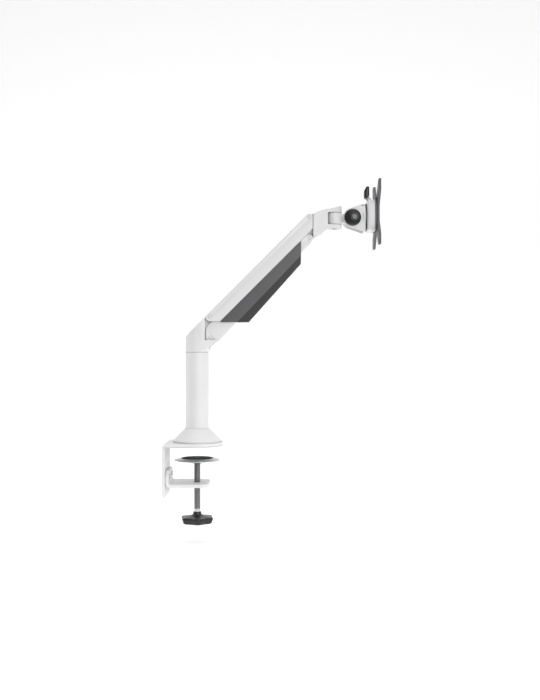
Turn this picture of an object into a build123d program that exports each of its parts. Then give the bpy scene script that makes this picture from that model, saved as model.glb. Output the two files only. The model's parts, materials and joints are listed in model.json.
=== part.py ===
from build123d import *
import math
import os

# Desk-clamped monitor arm with a spring-balanced parallelogram lift, in millimetres.
# +Z is up and +X is the way the arm reaches. The origin is on the pole's axis, on the desk top.
# The arm is drawn at the top of its lift. Names ending in _R are radii and _T are thicknesses.

# ---- fits ----
RUN_FIT = 0.05  # radial clearance of a pin or shaft that turns in its hole
SEAM = 0.6  # gap between two moving castings
CLEAR = 0.3  # gap between parts that only lie near each other
SLIDE_FIT = 0.35  # gap round the quick-release dovetail
OVER = 1.0  # how far a cut runs past the face that it opens

# ---- desk clamp ----
CLAMP_MARGIN = 3.0
CLAMP_BACK = 59.0
CLAMP_DROP = 89.5
CLAMP_STEEL_T = 4.5
CLAMP_BEND_R = 6.0
CLAMP_CORNER = 9.0
CLAMP_CORNER_RISE = 5.0
DESK_GAP = 22.0
DESK_PAD_T = 2.4
DESK_PAD_INSET = 1.5
JAW_STEEL_T = 6.0
JAW_WIDTH = 78.0
JAW_REACH = 22.0
JAW_RISE = 23.5
JAW_TAB = 24.0
JAW_BEND_R = 9.0
JAW_CORNER_R = 12.0
JAW_BOLT_R = 4.0
JAW_BOLT_HEAD_R = 7.5
JAW_BOLT_HEAD_T = 3.2
JAW_BOLT_PROUD = 1.5
HEX_SMALL = 2.9
HEX_LARGE = 4.4
HEX_DEPTH = 2.4
JAW_BOLT_Y = 22.0
JAW_BOLT_RISE = 13.0
JAW_BOLT_PITCH = 20.0
SCREW_R = 6.0
SCREW_LENGTH = 86.0
SCREW_NECK_R = 5.5
SCREW_NECK_LENGTH = 6.0
KNOB_R = 31.5
KNOB_H = 12.0
KNOB_HUB_R = 7.5
KNOB_HUB_H = 9.4
KNOB_DRAFT = 3.0
KNOB_LOBES = 6
KNOB_WAIST_R = 27.2
KNOB_SCALLOP_R = 30.0
KNOB_TURN = -82.0
KNOB_SHELL = 4.0
DISC_R = 41.3
DISC_RIM_T = 1.4
DISC_DEPTH = 7.0
DISC_HUB_R = 11.0
DISC_PAD_R = 29.0
DISC_LIP = 2.4
DISC_PAD_T = 3.0
SOCKET_DEPTH = 4.0
SOCKET_FIT = 0.4
CLIP_GROOVE = 0.9
CLIP_T = 1.0
CLIP_DROP = 1.6

# ---- pole ----
POLE_R = 21.0
POLE_WALL = 3.0
POLE_TOP = 170.0
FOOT_LEDGE = 15.0
FOOT_T = 6.0
FOOT_BOLT_GAP = 6.0
FOOT_BOLT_R = 3.0
FOOT_BOLT_HEAD_R = 4.8
FOOT_BOLT_HEAD_H = 4.0
GASKET_T = 2.0
GASKET_LIP = 0.5
CONE_SPREAD = 23.0
CONE_RIM = 1.2
CONE_WALL = 2.4
BUSH_LENGTH = 26.0
BUSH_SPREAD = 60.0
SPINDLE_GAP = 1.0
SPINDLE_GRIP = 10.0
SWIVEL_WASHER_T = 0.9
RETAINER_R = 13.0
RETAINER_T = 2.5
RETAINER_BOLT_R = 4.0
RETAINER_BOLT_GRIP = 13.0
RETAINER_BOLT_HEAD_R = 6.5
RETAINER_BOLT_HEAD_H = 5.0

# ---- parallelogram ----
LINK_LENGTH = 254.0
REST_ANGLE = 45.0
PIVOT_SETBACK = 9.6
LOW_PIVOT_RISE = 26.6
PIVOT_SPACING = 38.0
PIN_R = 3.0
PIN_HEAD_R = 4.0
PIN_HEAD_T = 0.8
PIN_BUSH_T = 1.0
BUSH_FLANGE_R = 5.2
BUSH_FLANGE_T = 1.0
SPACER_R = 4.7
WASHER_GAP = 0.1

UPPER_WALL = 2.8
UPPER_RISE = 6.0
UPPER_DEPTH = 18.9
UPPER_WEB_T = 2.5
UPPER_END_R = 9.2
UPPER_TIP_R = 6.0
UPPER_EDGE_R = 2.2
WEB_SLOT_LENGTH = 9.0

LOWER_INSET = 4.0
LOWER_WALL = 2.5
LOWER_RISE = 18.0
LOWER_DEPTH = 15.0
LOWER_TIP_R = 6.0
LOWER_HEEL = 8.5
LOWER_HEEL_R = 15.0
LOWER_FLOOR_T = 2.5
LOWER_FLOOR_START = 6.0
LOWER_FLOOR_STOP = 14.0

COVER_WALL = 2.0
COVER_RISE = 6.5
COVER_BEVEL_NEAR = 14.9
COVER_BEVEL_FAR = 12.0
COVER_DEPTH_NEAR = 29.3
COVER_DEPTH_FAR = 21.2
COVER_NEAR_AT = 68.0
COVER_FAR_SETBACK = 43.0
COVER_BEVEL_Y = 9.0
COVER_CUT_LOW = 27.5
COVER_CUT_FAR = 15.6
COVER_PAD_LENGTH = 8.0
COVER_PAD_LOW = -6.0
COVER_PAD_HIGH = 3.0
COVER_PAD_SHARES = (0.28, 0.53, 0.79)

# ---- shoulder ----
SEAM_INSET = 5.6
SHOULDER_WALL = 3.4
LIP_DROP = 5.0
LIP_OVERHANG = 13.2
LIP_T = 1.9
FLARE_OUT = 6.2
FLARE_UP = 6.1
CAVITY_DEPTH = 12.4
CAVITY_FLOOR_T = 1.1
CHEEK_INNER_Y = 6.5
CHEEK_SETBACK = 9.0
CHEEK_TOP_R = 5.6
CHEEK_LOW_R = 8.5
HATCH_R = 3.4

# ---- gas spring ----
SPRING_DROP = 14.0
SPRING_SETBACK = 49.0
SPRING_R = 10.0
SPRING_WALL = 1.2
SPRING_START = 26.0
SPRING_BARE = 55.0
SPRING_ROD_R = 4.0
SPRING_PISTON_IN = 54.0
SPRING_PISTON_T = 8.0
SPRING_END_T = 6.0
SPRING_NECK_HALF = 5.0
SPRING_EYE_R = 6.5
SPRING_EYE_HALF = 4.0
SPRING_GUIDE_T = 8.0
ROD_EYE_HALF = 4.5
ROD_EYE_PLAY = 3.2
ROD_EYE_SLIP = 0.8
ROD_EYE_WALL = 3.0
ROD_SOCKET = 9.0
ROD_SOCKET_HALF = 6.0
RIB_INNER_Y = 5.2
RIB_T = 3.5
RIB_R = 6.5
TENSION_BACK = 12.0
TENSION_R = 3.0
TENSION_HEAD_R = 4.6
TENSION_HEAD_H = 5.0
TENSION_SINK = 3.0
TENSION_FOOT = 5.0
CARRIAGE_H = 12.0
CARRIAGE_BEHIND = 7.5

# ---- head casting and swivel ----
HEAD_SETBACK = 6.4
HEAD_DROP = 1.5
NECK_HALF = 13.7
NECK_REACH = 22.0
SWIVEL_REACH = 39.2
EAR_R = 13.7
FORK_OPEN = 22.1
FORK_GAP_R = 18.2
TONGUE_R = 5.8
SWIVEL_BOLT_R = 5.0
SWIVEL_HEAD_R = 8.0
SWIVEL_HEAD_H = 3.4
SWIVEL_NUT_R = 8.3
SWIVEL_NUT_H = 4.2
SWIVEL_SEAT_T = 4.3
SWIVEL_PLATE_T = 0.8
KNUCKLE_R = 13.4
TILT_REACH = 31.8
TILT_BARREL_R = 11.0
TILT_BARREL_HALF = 15.5
KNUCKLE_NECK_HALF_Y = 9.0
KNUCKLE_NECK_HALF_Z = 8.6
KNUCKLE_NECK_R = 3.0
TILT_BOLT_R = 4.0
TILT_WASHER_T = 0.8
TILT_WASHER_R = 10.5

# ---- tilt bracket ----
CHEEK_T = 6.0
TILT_CHEEK_R = 17.0
ROTATE_RISE = 2.4
FLANGE_R = 24.5
FLANGE_LOW = 27.0
HOOD_SLOPE = 0.45
FLANGE_REACH = 20.0
FLANGE_T = 3.3
BRACKET_WEB_T = 3.0
BRACKET_WEB_REACH = 2.5
CAP_R = 15.1
CAP_H = 7.5
CAP_DOME = 3.0
CAP_SKIN = 2.0
CAP_EDGE = 1.2
TILT_NUT_R = 7.5
TILT_NUT_H = 3.2

# ---- head block, plate and thumb screw ----
FRICTION_T = 2.9
BLOCK_HALF = 28.0
BLOCK_RISE = 2.0
BLOCK_T = 14.0
BLOCK_BACK_CHAMFER = 3.0
BLOCK_EDGE_R = 8.0
SLOT_DEPTH = 5.5
SLOT_HALF_BACK = 20.0
SLOT_HALF_FRONT = 16.0
SLOT_FLOOR = 20.0
ROTATE_BOLT_R = 5.0
ROTATE_HEAD_R = 8.0
ROTATE_HEAD_H = 4.0
ROTATE_GRIP = 7.5
SPRING_WASHER_R = 9.0
SPRING_WASHER_T = 3.6
ADAPTER_T = 3.2
ADAPTER_HALF = 30.0
ADAPTER_GAP = 0.1
PLATE_T = 4.0
PLATE_SIZE = 116.0
PLATE_RISE = 4.5
PLATE_ARM = 27.0
PLATE_HUB_HALF = 33.0
VESA_LARGE = 100.0
VESA_SMALL = 75.0
VESA_HOLE_R = 2.3
ADAPTER_CORNER_R = 4.0
RIVET_R = 2.5
RIVET_HEAD_R = 4.2
RIVET_HEAD_T = 2.2
RIVET_AT = 22.0
THUMB_REACH = 2.8
THUMB_RISE = 4.2
THUMB_R = 2.5
THUMB_STUB = 6.0
THUMB_BOSS_R = 4.6
THUMB_BOSS_LENGTH = 6.5
THUMB_COLLAR_R = 4.0
THUMB_COLLAR_T = 1.6
THUMB_HEAD_TALL = 20.2
THUMB_HEAD_T = 9.2
THUMB_HEAD_HALF = 9.0

# ---- worked out from the sizes above ----
SIN45 = math.sin(math.radians(45))
COS_REST = math.cos(math.radians(REST_ANGLE))
SIN_REST = math.sin(math.radians(REST_ANGLE))

FOOT_R = POLE_R + FOOT_LEDGE
FOOT_BOLT_CIRCLE = POLE_R + FOOT_BOLT_GAP
CONE_R = POLE_R + CONE_SPREAD
GASKET_R = CONE_R + GASKET_LIP
GASKET_HOLE_R = FOOT_R + 2 * OVER
CLAMP_R = CONE_R + CLAMP_MARGIN
PLATE_LOW = DESK_PAD_T
PLATE_HIGH = DESK_PAD_T + CLAMP_STEEL_T
CLAMP_INNER_X = -CLAMP_BACK + CLAMP_STEEL_T
JAW_TOP = -CLAMP_DROP + JAW_RISE
JAW_LOW = JAW_TOP - JAW_STEEL_T
JAW_TAB_TOP = JAW_TOP + JAW_TAB
JAW_BOLT_Z = JAW_TOP + JAW_BOLT_RISE
DISC_TOP = -DESK_GAP - DISC_PAD_T
SCREW_TOP = DISC_TOP - DISC_DEPTH + SOCKET_DEPTH - CLEAR
LOWER_BUSH_TOP = POLE_TOP - BUSH_SPREAD

SHOULDER_Z = POLE_TOP + SWIVEL_WASHER_T
SEAM_X = POLE_R - SEAM_INSET
PIVOT_X = SEAM_X + PIVOT_SETBACK
LOW_PIVOT_Z = SHOULDER_Z + LOW_PIVOT_RISE
PIVOT_Z = LOW_PIVOT_Z + PIVOT_SPACING
HEAD_PIVOT_X = PIVOT_X + LINK_LENGTH * COS_REST
HEAD_PIVOT_Z = PIVOT_Z + LINK_LENGTH * SIN_REST
LOW_HEAD_PIVOT_Z = HEAD_PIVOT_Z - PIVOT_SPACING
UPPER_HALF = POLE_R
UPPER_INNER = UPPER_HALF - UPPER_WALL
CHEEK_OUTER_Y = UPPER_HALF - CHEEK_SETBACK
LOWER_OUTER_Y = UPPER_HALF - LOWER_INSET
LOWER_INNER = LOWER_OUTER_Y - LOWER_WALL
COVER_FAR_AT = LINK_LENGTH - COVER_FAR_SETBACK
COVER_FLOOR_Y = UPPER_HALF - COVER_BEVEL_Y
SLOPE_RISE = PIVOT_Z - PIVOT_X + UPPER_RISE / SIN45
LIP_TOP = LOW_PIVOT_Z - LIP_DROP
LIP_TIP_Z = LIP_TOP - LIP_T
LIP_REACH = PIVOT_X + LIP_OVERHANG
FLARE_R = POLE_R + FLARE_OUT
FLARE_Z = SHOULDER_Z + FLARE_UP
CAVITY_X = SEAM_X - CAVITY_DEPTH
CAVITY_FLOOR = SHOULDER_Z + SPINDLE_GRIP + CAVITY_FLOOR_T

SPRING_Z = PIVOT_Z - SPRING_DROP
SPRING_SPAN = LINK_LENGTH - SPRING_SETBACK
SPRING_BODY = SPRING_SPAN - SPRING_BARE - SPRING_START
SPRING_PISTON_AT = SPRING_START + SPRING_BODY - SPRING_PISTON_IN
SPRING_END = (SPRING_SPAN, -SPRING_DROP * COS_REST)
TENSION_X = PIVOT_X - TENSION_BACK
SPINDLE_R = TENSION_X - TENSION_R - SPINDLE_GAP
TENSION_TOP = SPRING_Z - TENSION_SINK
CARRIAGE_LOW = LOW_PIVOT_Z - CLEAR
CARRIAGE_BACK = TENSION_X - CARRIAGE_BEHIND

HEAD_X = HEAD_PIVOT_X + HEAD_SETBACK
HEAD_HALF = UPPER_HALF
NECK_X = HEAD_X + NECK_REACH
SWIVEL_X = HEAD_X + SWIVEL_REACH
TILT_X = SWIVEL_X + TILT_REACH
TILT_Z = HEAD_PIVOT_Z - HEAD_DROP
FORK_LOW = TILT_Z - FORK_OPEN / 2
FORK_HIGH = TILT_Z + FORK_OPEN / 2
SWIVEL_NUT_SEAT = FORK_HIGH + SWIVEL_SEAT_T
SWIVEL_HEAD_SEAT = FORK_LOW - SWIVEL_SEAT_T
CHEEK_INNER = TILT_BARREL_HALF + TILT_WASHER_T + 2 * WASHER_GAP
CHEEK_OUTER = CHEEK_INNER + CHEEK_T
ROTATE_Z = TILT_Z + ROTATE_RISE
FLANGE_BACK = TILT_X + FLANGE_REACH
FLANGE_FRONT = FLANGE_BACK + FLANGE_T
BRACKET_WEB_X = TILT_X + BRACKET_WEB_REACH
BLOCK_BACK = FLANGE_FRONT + FRICTION_T + CLEAR
BLOCK_FRONT = BLOCK_BACK + BLOCK_T
BLOCK_Z = ROTATE_Z + BLOCK_RISE
PLATE_BACK = BLOCK_FRONT + ADAPTER_GAP + ADAPTER_T
PLATE_CENTRE_Z = ROTATE_Z + PLATE_RISE
THUMB_X = BLOCK_BACK + THUMB_REACH
THUMB_Z = BLOCK_Z + BLOCK_HALF + THUMB_RISE
THUMB_LENGTH = (BLOCK_FRONT - SLOT_DEPTH - THUMB_X) / SIN45 - THUMB_R - CLEAR


# ---- drawing helpers ----
def outline(start, *steps):
    """A closed face. A step is an end point, or (middle, end) for an arc."""
    edges = []
    here = start
    for step in steps:
        if isinstance(step[0], tuple):
            middle, there = step
            edges.append(ThreePointArc(here, middle, there))
        else:
            there = step
            edges.append(Line(here, there))
        here = there
    if math.dist(here, start) > 1e-6:
        edges.append(Line(here, start))
    return make_face(edges)


def disc(x, z, radius):
    """A round face in a drawing plane."""
    return Pos(x, z) * Circle(radius)


def slab(face, near_y, far_y):
    """A face drawn in X and Z, made solid between two Y values."""
    return Pos(0, far_y, 0) * extrude(Plane.XZ * face, amount=far_y - near_y)


def both_sides(face, inner_y, outer_y):
    """The same face made solid on the near and on the far side."""
    return slab(face, inner_y, outer_y) + slab(face, -outer_y, -inner_y)


def spun(*points):
    """A solid turned about Z from its radius and height points."""
    return revolve(Plane.XZ * outline(*points), Axis.Z)


def rod_x(x_start, x_end, y, z, radius):
    """A cylinder along X."""
    middle = (x_start + x_end) / 2
    return Pos(middle, y, z) * Rot(0, 90, 0) * Cylinder(radius, x_end - x_start)


def rod_y(x, z, y_start, y_end, radius):
    """A cylinder along Y."""
    middle = (y_start + y_end) / 2
    return Pos(x, middle, z) * Rot(90, 0, 0) * Cylinder(radius, y_end - y_start)


def rod_z(x, y, z_start, z_end, radius):
    """A cylinder along Z."""
    middle = (z_start + z_end) / 2
    return Pos(x, y, middle) * Cylinder(radius, z_end - z_start)


def block(x_range, y_range, z_range):
    """A box between two corners."""
    size = [high - low for low, high in (x_range, y_range, z_range)]
    middle = [(high + low) / 2 for low, high in (x_range, y_range, z_range)]
    return Pos(*middle) * Box(*size)


def in_link(x, z):
    """Level and upright offsets from a pivot, turned into along and across the raised link."""
    return (x * COS_REST + z * SIN_REST, z * COS_REST - x * SIN_REST)


def raised(link, pivot_z, pivot_x=PIVOT_X):
    """A link drawn level from its pivot, put at the raised angle."""
    return Pos(pivot_x, 0, pivot_z) * Rot(0, -REST_ANGLE, 0) * link


def hex_prism(across_corner_r, height):
    """A hexagonal nut or socket along Z."""
    return extrude(RegularPolygon(across_corner_r, 6), amount=height)


PARTS = {}


def keep(name, *solids):
    """Collect the solids of one node."""
    PARTS[name] = solids[0] if len(solids) == 1 else Compound(children=list(solids))


# ---- desk clamp ----
def clamp_plan(inset, back):
    """Plan of the clamp's top plate: a round end about the pole and a straight back."""
    radius = CLAMP_R - inset
    strip = Pos(-back / 2, 0) * Rectangle(back, 2 * radius)
    return Circle(radius) + strip


def jaw_bolt_places():
    """Centres of the two bolts that hold the lower jaw."""
    return [(y, JAW_BOLT_Z) for y in (-JAW_BOLT_Y, JAW_BOLT_Y)]


def jaw_bolt_cone(y, z, extra):
    """A countersunk bolt head in the clamp's back, grown where asked."""
    cone = Cone(JAW_BOLT_HEAD_R + extra, JAW_BOLT_R + extra, JAW_BOLT_HEAD_T)
    return Pos(-CLAMP_BACK, y, z) * Rot(0, 90, 0) * Pos(0, 0, JAW_BOLT_HEAD_T / 2) * cone


def foot_bolt_places():
    """Centres of the four bolts that hold the pole's foot."""
    angles = [math.radians(45 + 90 * turn) for turn in range(4)]
    return [(FOOT_BOLT_CIRCLE * math.cos(a), FOOT_BOLT_CIRCLE * math.sin(a)) for a in angles]


def make_clamp_bracket():
    """The pressed-steel angle that lies on the desk and hangs down behind it, with its pad."""
    top = Pos(0, 0, PLATE_LOW) * extrude(clamp_plan(0, CLAMP_BACK), amount=CLAMP_STEEL_T)
    back = block((-CLAMP_BACK, CLAMP_INNER_X), (-CLAMP_R, CLAMP_R), (-CLAMP_DROP, PLATE_HIGH))
    bracket = top + back
    across = bracket.edges().filter_by(Axis.Y)
    outer_bend = across.group_by(Axis.X)[0].sort_by(Axis.Z)[-1]
    bracket = fillet(outer_bend, CLAMP_BEND_R)
    for side in (-1, 1):
        corner = outline(
            (side * CLAMP_R, -CLAMP_DROP),
            (side * (CLAMP_R - CLAMP_CORNER), -CLAMP_DROP),
            (side * CLAMP_R, -CLAMP_DROP + CLAMP_CORNER_RISE),
        )
        trim = extrude(Plane.YZ * corner, amount=CLAMP_STEEL_T + OVER, both=True)
        bracket -= Pos(-CLAMP_BACK, 0, 0) * trim
    for y, z in jaw_bolt_places():
        for step in (-1, 0, 1):
            hole_z = z + step * JAW_BOLT_PITCH
            bracket -= rod_x(-CLAMP_BACK - OVER, CLAMP_INNER_X + OVER, y, hole_z, JAW_BOLT_R + CLEAR)
            bracket -= jaw_bolt_cone(y, hole_z, CLEAR)
    for x, y in foot_bolt_places():
        bracket -= rod_z(x, y, PLATE_LOW - OVER, PLATE_HIGH + OVER, FOOT_BOLT_R)
    keep("clamp_top_bracket", bracket)
    pad = clamp_plan(DESK_PAD_INSET, CLAMP_BACK - CLAMP_STEEL_T - DESK_PAD_INSET)
    keep("desk_pad", extrude(pad, amount=DESK_PAD_T))


def make_jaw():
    """The lower jaw, an angle bolted to the clamp's back, with its two bolts."""
    outer = (CLAMP_INNER_X, JAW_LOW + JAW_BEND_R)
    outer_mid = (
        CLAMP_INNER_X + JAW_BEND_R * (1 - SIN45),
        JAW_LOW + JAW_BEND_R * (1 - SIN45),
    )
    inner_r = JAW_BEND_R - JAW_STEEL_T
    inner_x = CLAMP_INNER_X + JAW_STEEL_T
    inner_mid = (inner_x + inner_r * (1 - SIN45), JAW_TOP + inner_r * (1 - SIN45))
    profile = outline(
        (CLAMP_INNER_X, JAW_TAB_TOP),
        outer,
        (outer_mid, (CLAMP_INNER_X + JAW_BEND_R, JAW_LOW)),
        (JAW_REACH, JAW_LOW),
        (JAW_REACH, JAW_TOP),
        (CLAMP_INNER_X + JAW_BEND_R, JAW_TOP),
        (inner_mid, (inner_x, JAW_TOP + inner_r)),
        (inner_x, JAW_TAB_TOP),
    )
    jaw = slab(profile, -JAW_WIDTH / 2, JAW_WIDTH / 2)
    ends = jaw.edges().filter_by(Axis.Z).group_by(Axis.X)[-1]
    jaw = fillet(ends, JAW_CORNER_R)
    tops = jaw.edges().filter_by(Axis.X).group_by(Axis.Z)[-1]
    jaw = chamfer(tops, CLAMP_CORNER)
    jaw -= rod_z(0, 0, JAW_LOW - OVER, JAW_TOP + OVER, SCREW_R + RUN_FIT)
    for y, z in jaw_bolt_places():
        jaw -= rod_x(CLAMP_INNER_X - OVER, inner_x + OVER, y, z, JAW_BOLT_R)
    keep("clamp_lower_jaw", jaw)

    bolts = []
    for y, z in jaw_bolt_places():
        shank = rod_x(-CLAMP_BACK + HEX_DEPTH, inner_x + JAW_BOLT_PROUD, y, z, JAW_BOLT_R)
        socket = Pos(-CLAMP_BACK, y, z) * Rot(0, 90, 0) * hex_prism(HEX_SMALL, HEX_DEPTH)
        bolts.append(shank + jaw_bolt_cone(y, z, 0) - socket)
    keep("jaw_bolts", *bolts)


def make_clamp_screw():
    """The clamp's screw with its neck, and the star knob fixed to it."""
    thread_end = SCREW_TOP - SCREW_LENGTH
    neck_end = thread_end - SCREW_NECK_LENGTH
    stud_r = SCREW_NECK_R - 1.0
    stud_end = neck_end - KNOB_HUB_H - KNOB_H / 2
    groove_top = SCREW_TOP - CLIP_DROP
    groove_low = groove_top - CLIP_T - 2 * CLEAR
    tip_r = SCREW_R - CLIP_GROOVE
    screw = spun(
        (0, SCREW_TOP),
        (tip_r, SCREW_TOP),
        (SCREW_R, SCREW_TOP - CLIP_GROOVE),
        (SCREW_R, groove_top),
        (tip_r, groove_top),
        (tip_r, groove_low),
        (SCREW_R, groove_low),
        (SCREW_R, thread_end),
        (SCREW_NECK_R, thread_end),
        (SCREW_NECK_R, neck_end),
        (stud_r, neck_end),
        (stud_r, stud_end),
        (0, stud_end),
    )
    keep("clamp_screw", screw)

    body_top = neck_end - KNOB_HUB_H
    body_low = body_top - KNOB_H
    neck_foot = neck_end - KNOB_HUB_H * 0.37
    flank_mid = (KNOB_HUB_R * 1.4, neck_end - KNOB_HUB_H * 0.64)
    flank_end = (KNOB_HUB_R * 2.1, neck_end - KNOB_HUB_H * 0.8)
    knob = spun(
        (0, neck_end),
        (KNOB_HUB_R, neck_end),
        (KNOB_HUB_R, neck_foot),
        (flank_mid, flank_end),
        (KNOB_R - 1.5, body_top),
        ((KNOB_R - 0.4, body_top - 0.5), (KNOB_R, body_top - 1.5)),
        (KNOB_R - KNOB_DRAFT, body_low),
        (0, body_low),
    )
    scallop_at = KNOB_WAIST_R + KNOB_SCALLOP_R
    pitch = 360 / KNOB_LOBES
    for lobe in range(KNOB_LOBES):
        turn = Rot(0, 0, KNOB_TURN + pitch * (lobe + 0.5))
        knob -= turn * rod_z(scallop_at, 0, body_low - OVER, body_top + OVER, KNOB_SCALLOP_R)
    knob -= rod_z(0, 0, stud_end, neck_end + OVER, stud_r)
    hollow_r = KNOB_WAIST_R - KNOB_DRAFT - KNOB_SHELL
    knob -= rod_z(0, 0, body_low - OVER, body_low + KNOB_H / 3, hollow_r)
    keep("clamp_knob", knob)


def make_disc():
    """The pressure disc under the desk, its rubber pad and the clip that holds it on the screw."""
    hub_low = DISC_TOP - DISC_DEPTH
    socket_r = SCREW_R + SOCKET_FIT
    socket_top = hub_low + SOCKET_DEPTH
    under = DISC_TOP - DISC_RIM_T
    seat_r = DISC_PAD_R + CLEAR
    dish = spun(
        (0, DISC_TOP),
        (seat_r, DISC_TOP),
        (seat_r, DISC_TOP + DISC_LIP),
        (seat_r + 1.0, DISC_TOP + DISC_LIP),
        (DISC_R - 0.6, DISC_TOP),
        (DISC_R, DISC_TOP - 0.5),
        (DISC_R, under),
        (DISC_PAD_R + 2.0, under - 1.2),
        (DISC_HUB_R + 4.0, hub_low + 1.4),
        (DISC_HUB_R, hub_low),
        (socket_r, hub_low),
        (socket_r, socket_top),
        (0, socket_top),
    )
    keep("clamp_disc", dish)
    keep("clamp_disc_pad", rod_z(0, 0, DISC_TOP, DISC_TOP + DISC_PAD_T, DISC_PAD_R))
    clip_top = SCREW_TOP - CLIP_DROP - CLEAR
    clip_low = clip_top - CLIP_T
    ring = rod_z(0, 0, clip_low, clip_top, socket_r)
    ring -= rod_z(0, 0, clip_low - OVER, clip_top + OVER, SCREW_R - CLIP_GROOVE + RUN_FIT)
    keep("clamp_disc_clip", ring)


# ---- pole ----
def make_pole():
    """The pole with its welded foot, gasket, cone cover, two bushes and swivel washer."""
    tube = rod_z(0, 0, PLATE_HIGH, POLE_TOP, POLE_R)
    tube -= rod_z(0, 0, PLATE_HIGH - OVER, POLE_TOP + OVER, POLE_R - POLE_WALL)
    keep("pole_tube", tube)

    seat = PLATE_HIGH + FOOT_T
    foot = rod_z(0, 0, PLATE_HIGH, seat, FOOT_R)
    foot -= rod_z(0, 0, PLATE_HIGH - OVER, seat + OVER, POLE_R)
    bolts = []
    for x, y in foot_bolt_places():
        foot -= rod_z(x, y, PLATE_HIGH - OVER, seat + OVER, FOOT_BOLT_R)
        shank = rod_z(x, y, PLATE_LOW + CLEAR, seat, FOOT_BOLT_R)
        head = rod_z(x, y, seat, seat + FOOT_BOLT_HEAD_H, FOOT_BOLT_HEAD_R)
        socket = Pos(x, y, seat + FOOT_BOLT_HEAD_H / 2) * hex_prism(HEX_SMALL, FOOT_BOLT_HEAD_H)
        bolts.append(shank + head - socket)
    keep("pole_foot", foot)
    keep("foot_bolts", *bolts)

    gasket_top = PLATE_HIGH + GASKET_T
    gasket = rod_z(0, 0, PLATE_HIGH, gasket_top, GASKET_R)
    gasket -= rod_z(0, 0, PLATE_HIGH - OVER, gasket_top + OVER, GASKET_HOLE_R)
    keep("base_gasket", gasket)

    low = gasket_top
    top_r = POLE_R + RUN_FIT * 3
    tip = 1.0
    rise = CONE_R - top_r - tip
    wall = CONE_WALL / SIN45
    rim = low + CONE_RIM
    cone = spun(
        (CONE_R - wall, low),
        (CONE_R, low),
        (CONE_R, rim),
        (top_r + tip, rim + rise),
        (top_r, rim + rise),
        (top_r, rim + rise - wall + tip),
        (CONE_R - wall, rim),
    )
    keep("base_cone_cover", cone)

    for name, top in (("pole_top_bush", POLE_TOP), ("pole_lower_bush", LOWER_BUSH_TOP)):
        bush = rod_z(0, 0, top - BUSH_LENGTH, top, POLE_R - POLE_WALL)
        bush -= rod_z(0, 0, top - BUSH_LENGTH - OVER, top + OVER, SPINDLE_R + RUN_FIT)
        keep(name, bush)
    washer = rod_z(0, 0, POLE_TOP, SHOULDER_Z, POLE_R - CLEAR)
    washer -= rod_z(0, 0, POLE_TOP - OVER, SHOULDER_Z + OVER, SPINDLE_R + CLEAR)
    keep("swivel_washer", washer)


# ---- shoulder ----
def shoulder_cheek_face():
    """The upright plates inside the shoulder that carry both lower link pivots."""
    roof = SLOPE_RISE - SHOULDER_WALL / SIN45 + OVER
    heel = CAVITY_FLOOR - OVER
    back = CAVITY_X - OVER
    seam = SEAM_X - 2 * OVER
    body = outline(
        (back, heel),
        (PIVOT_X - CHEEK_LOW_R * 1.3, heel),
        (PIVOT_X - CHEEK_LOW_R * SIN45, LOW_PIVOT_Z - CHEEK_LOW_R * SIN45),
        (PIVOT_X, LOW_PIVOT_Z),
        (PIVOT_X + CHEEK_LOW_R, LOW_PIVOT_Z),
        (PIVOT_X + CHEEK_TOP_R, PIVOT_Z),
        (PIVOT_X, PIVOT_Z),
        (PIVOT_X - CHEEK_TOP_R * SIN45, PIVOT_Z + CHEEK_TOP_R * SIN45),
        (seam, seam + roof),
        (back, back + roof),
    )
    return body + disc(PIVOT_X, LOW_PIVOT_Z, CHEEK_LOW_R) + disc(PIVOT_X, PIVOT_Z, CHEEK_TOP_R)


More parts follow.
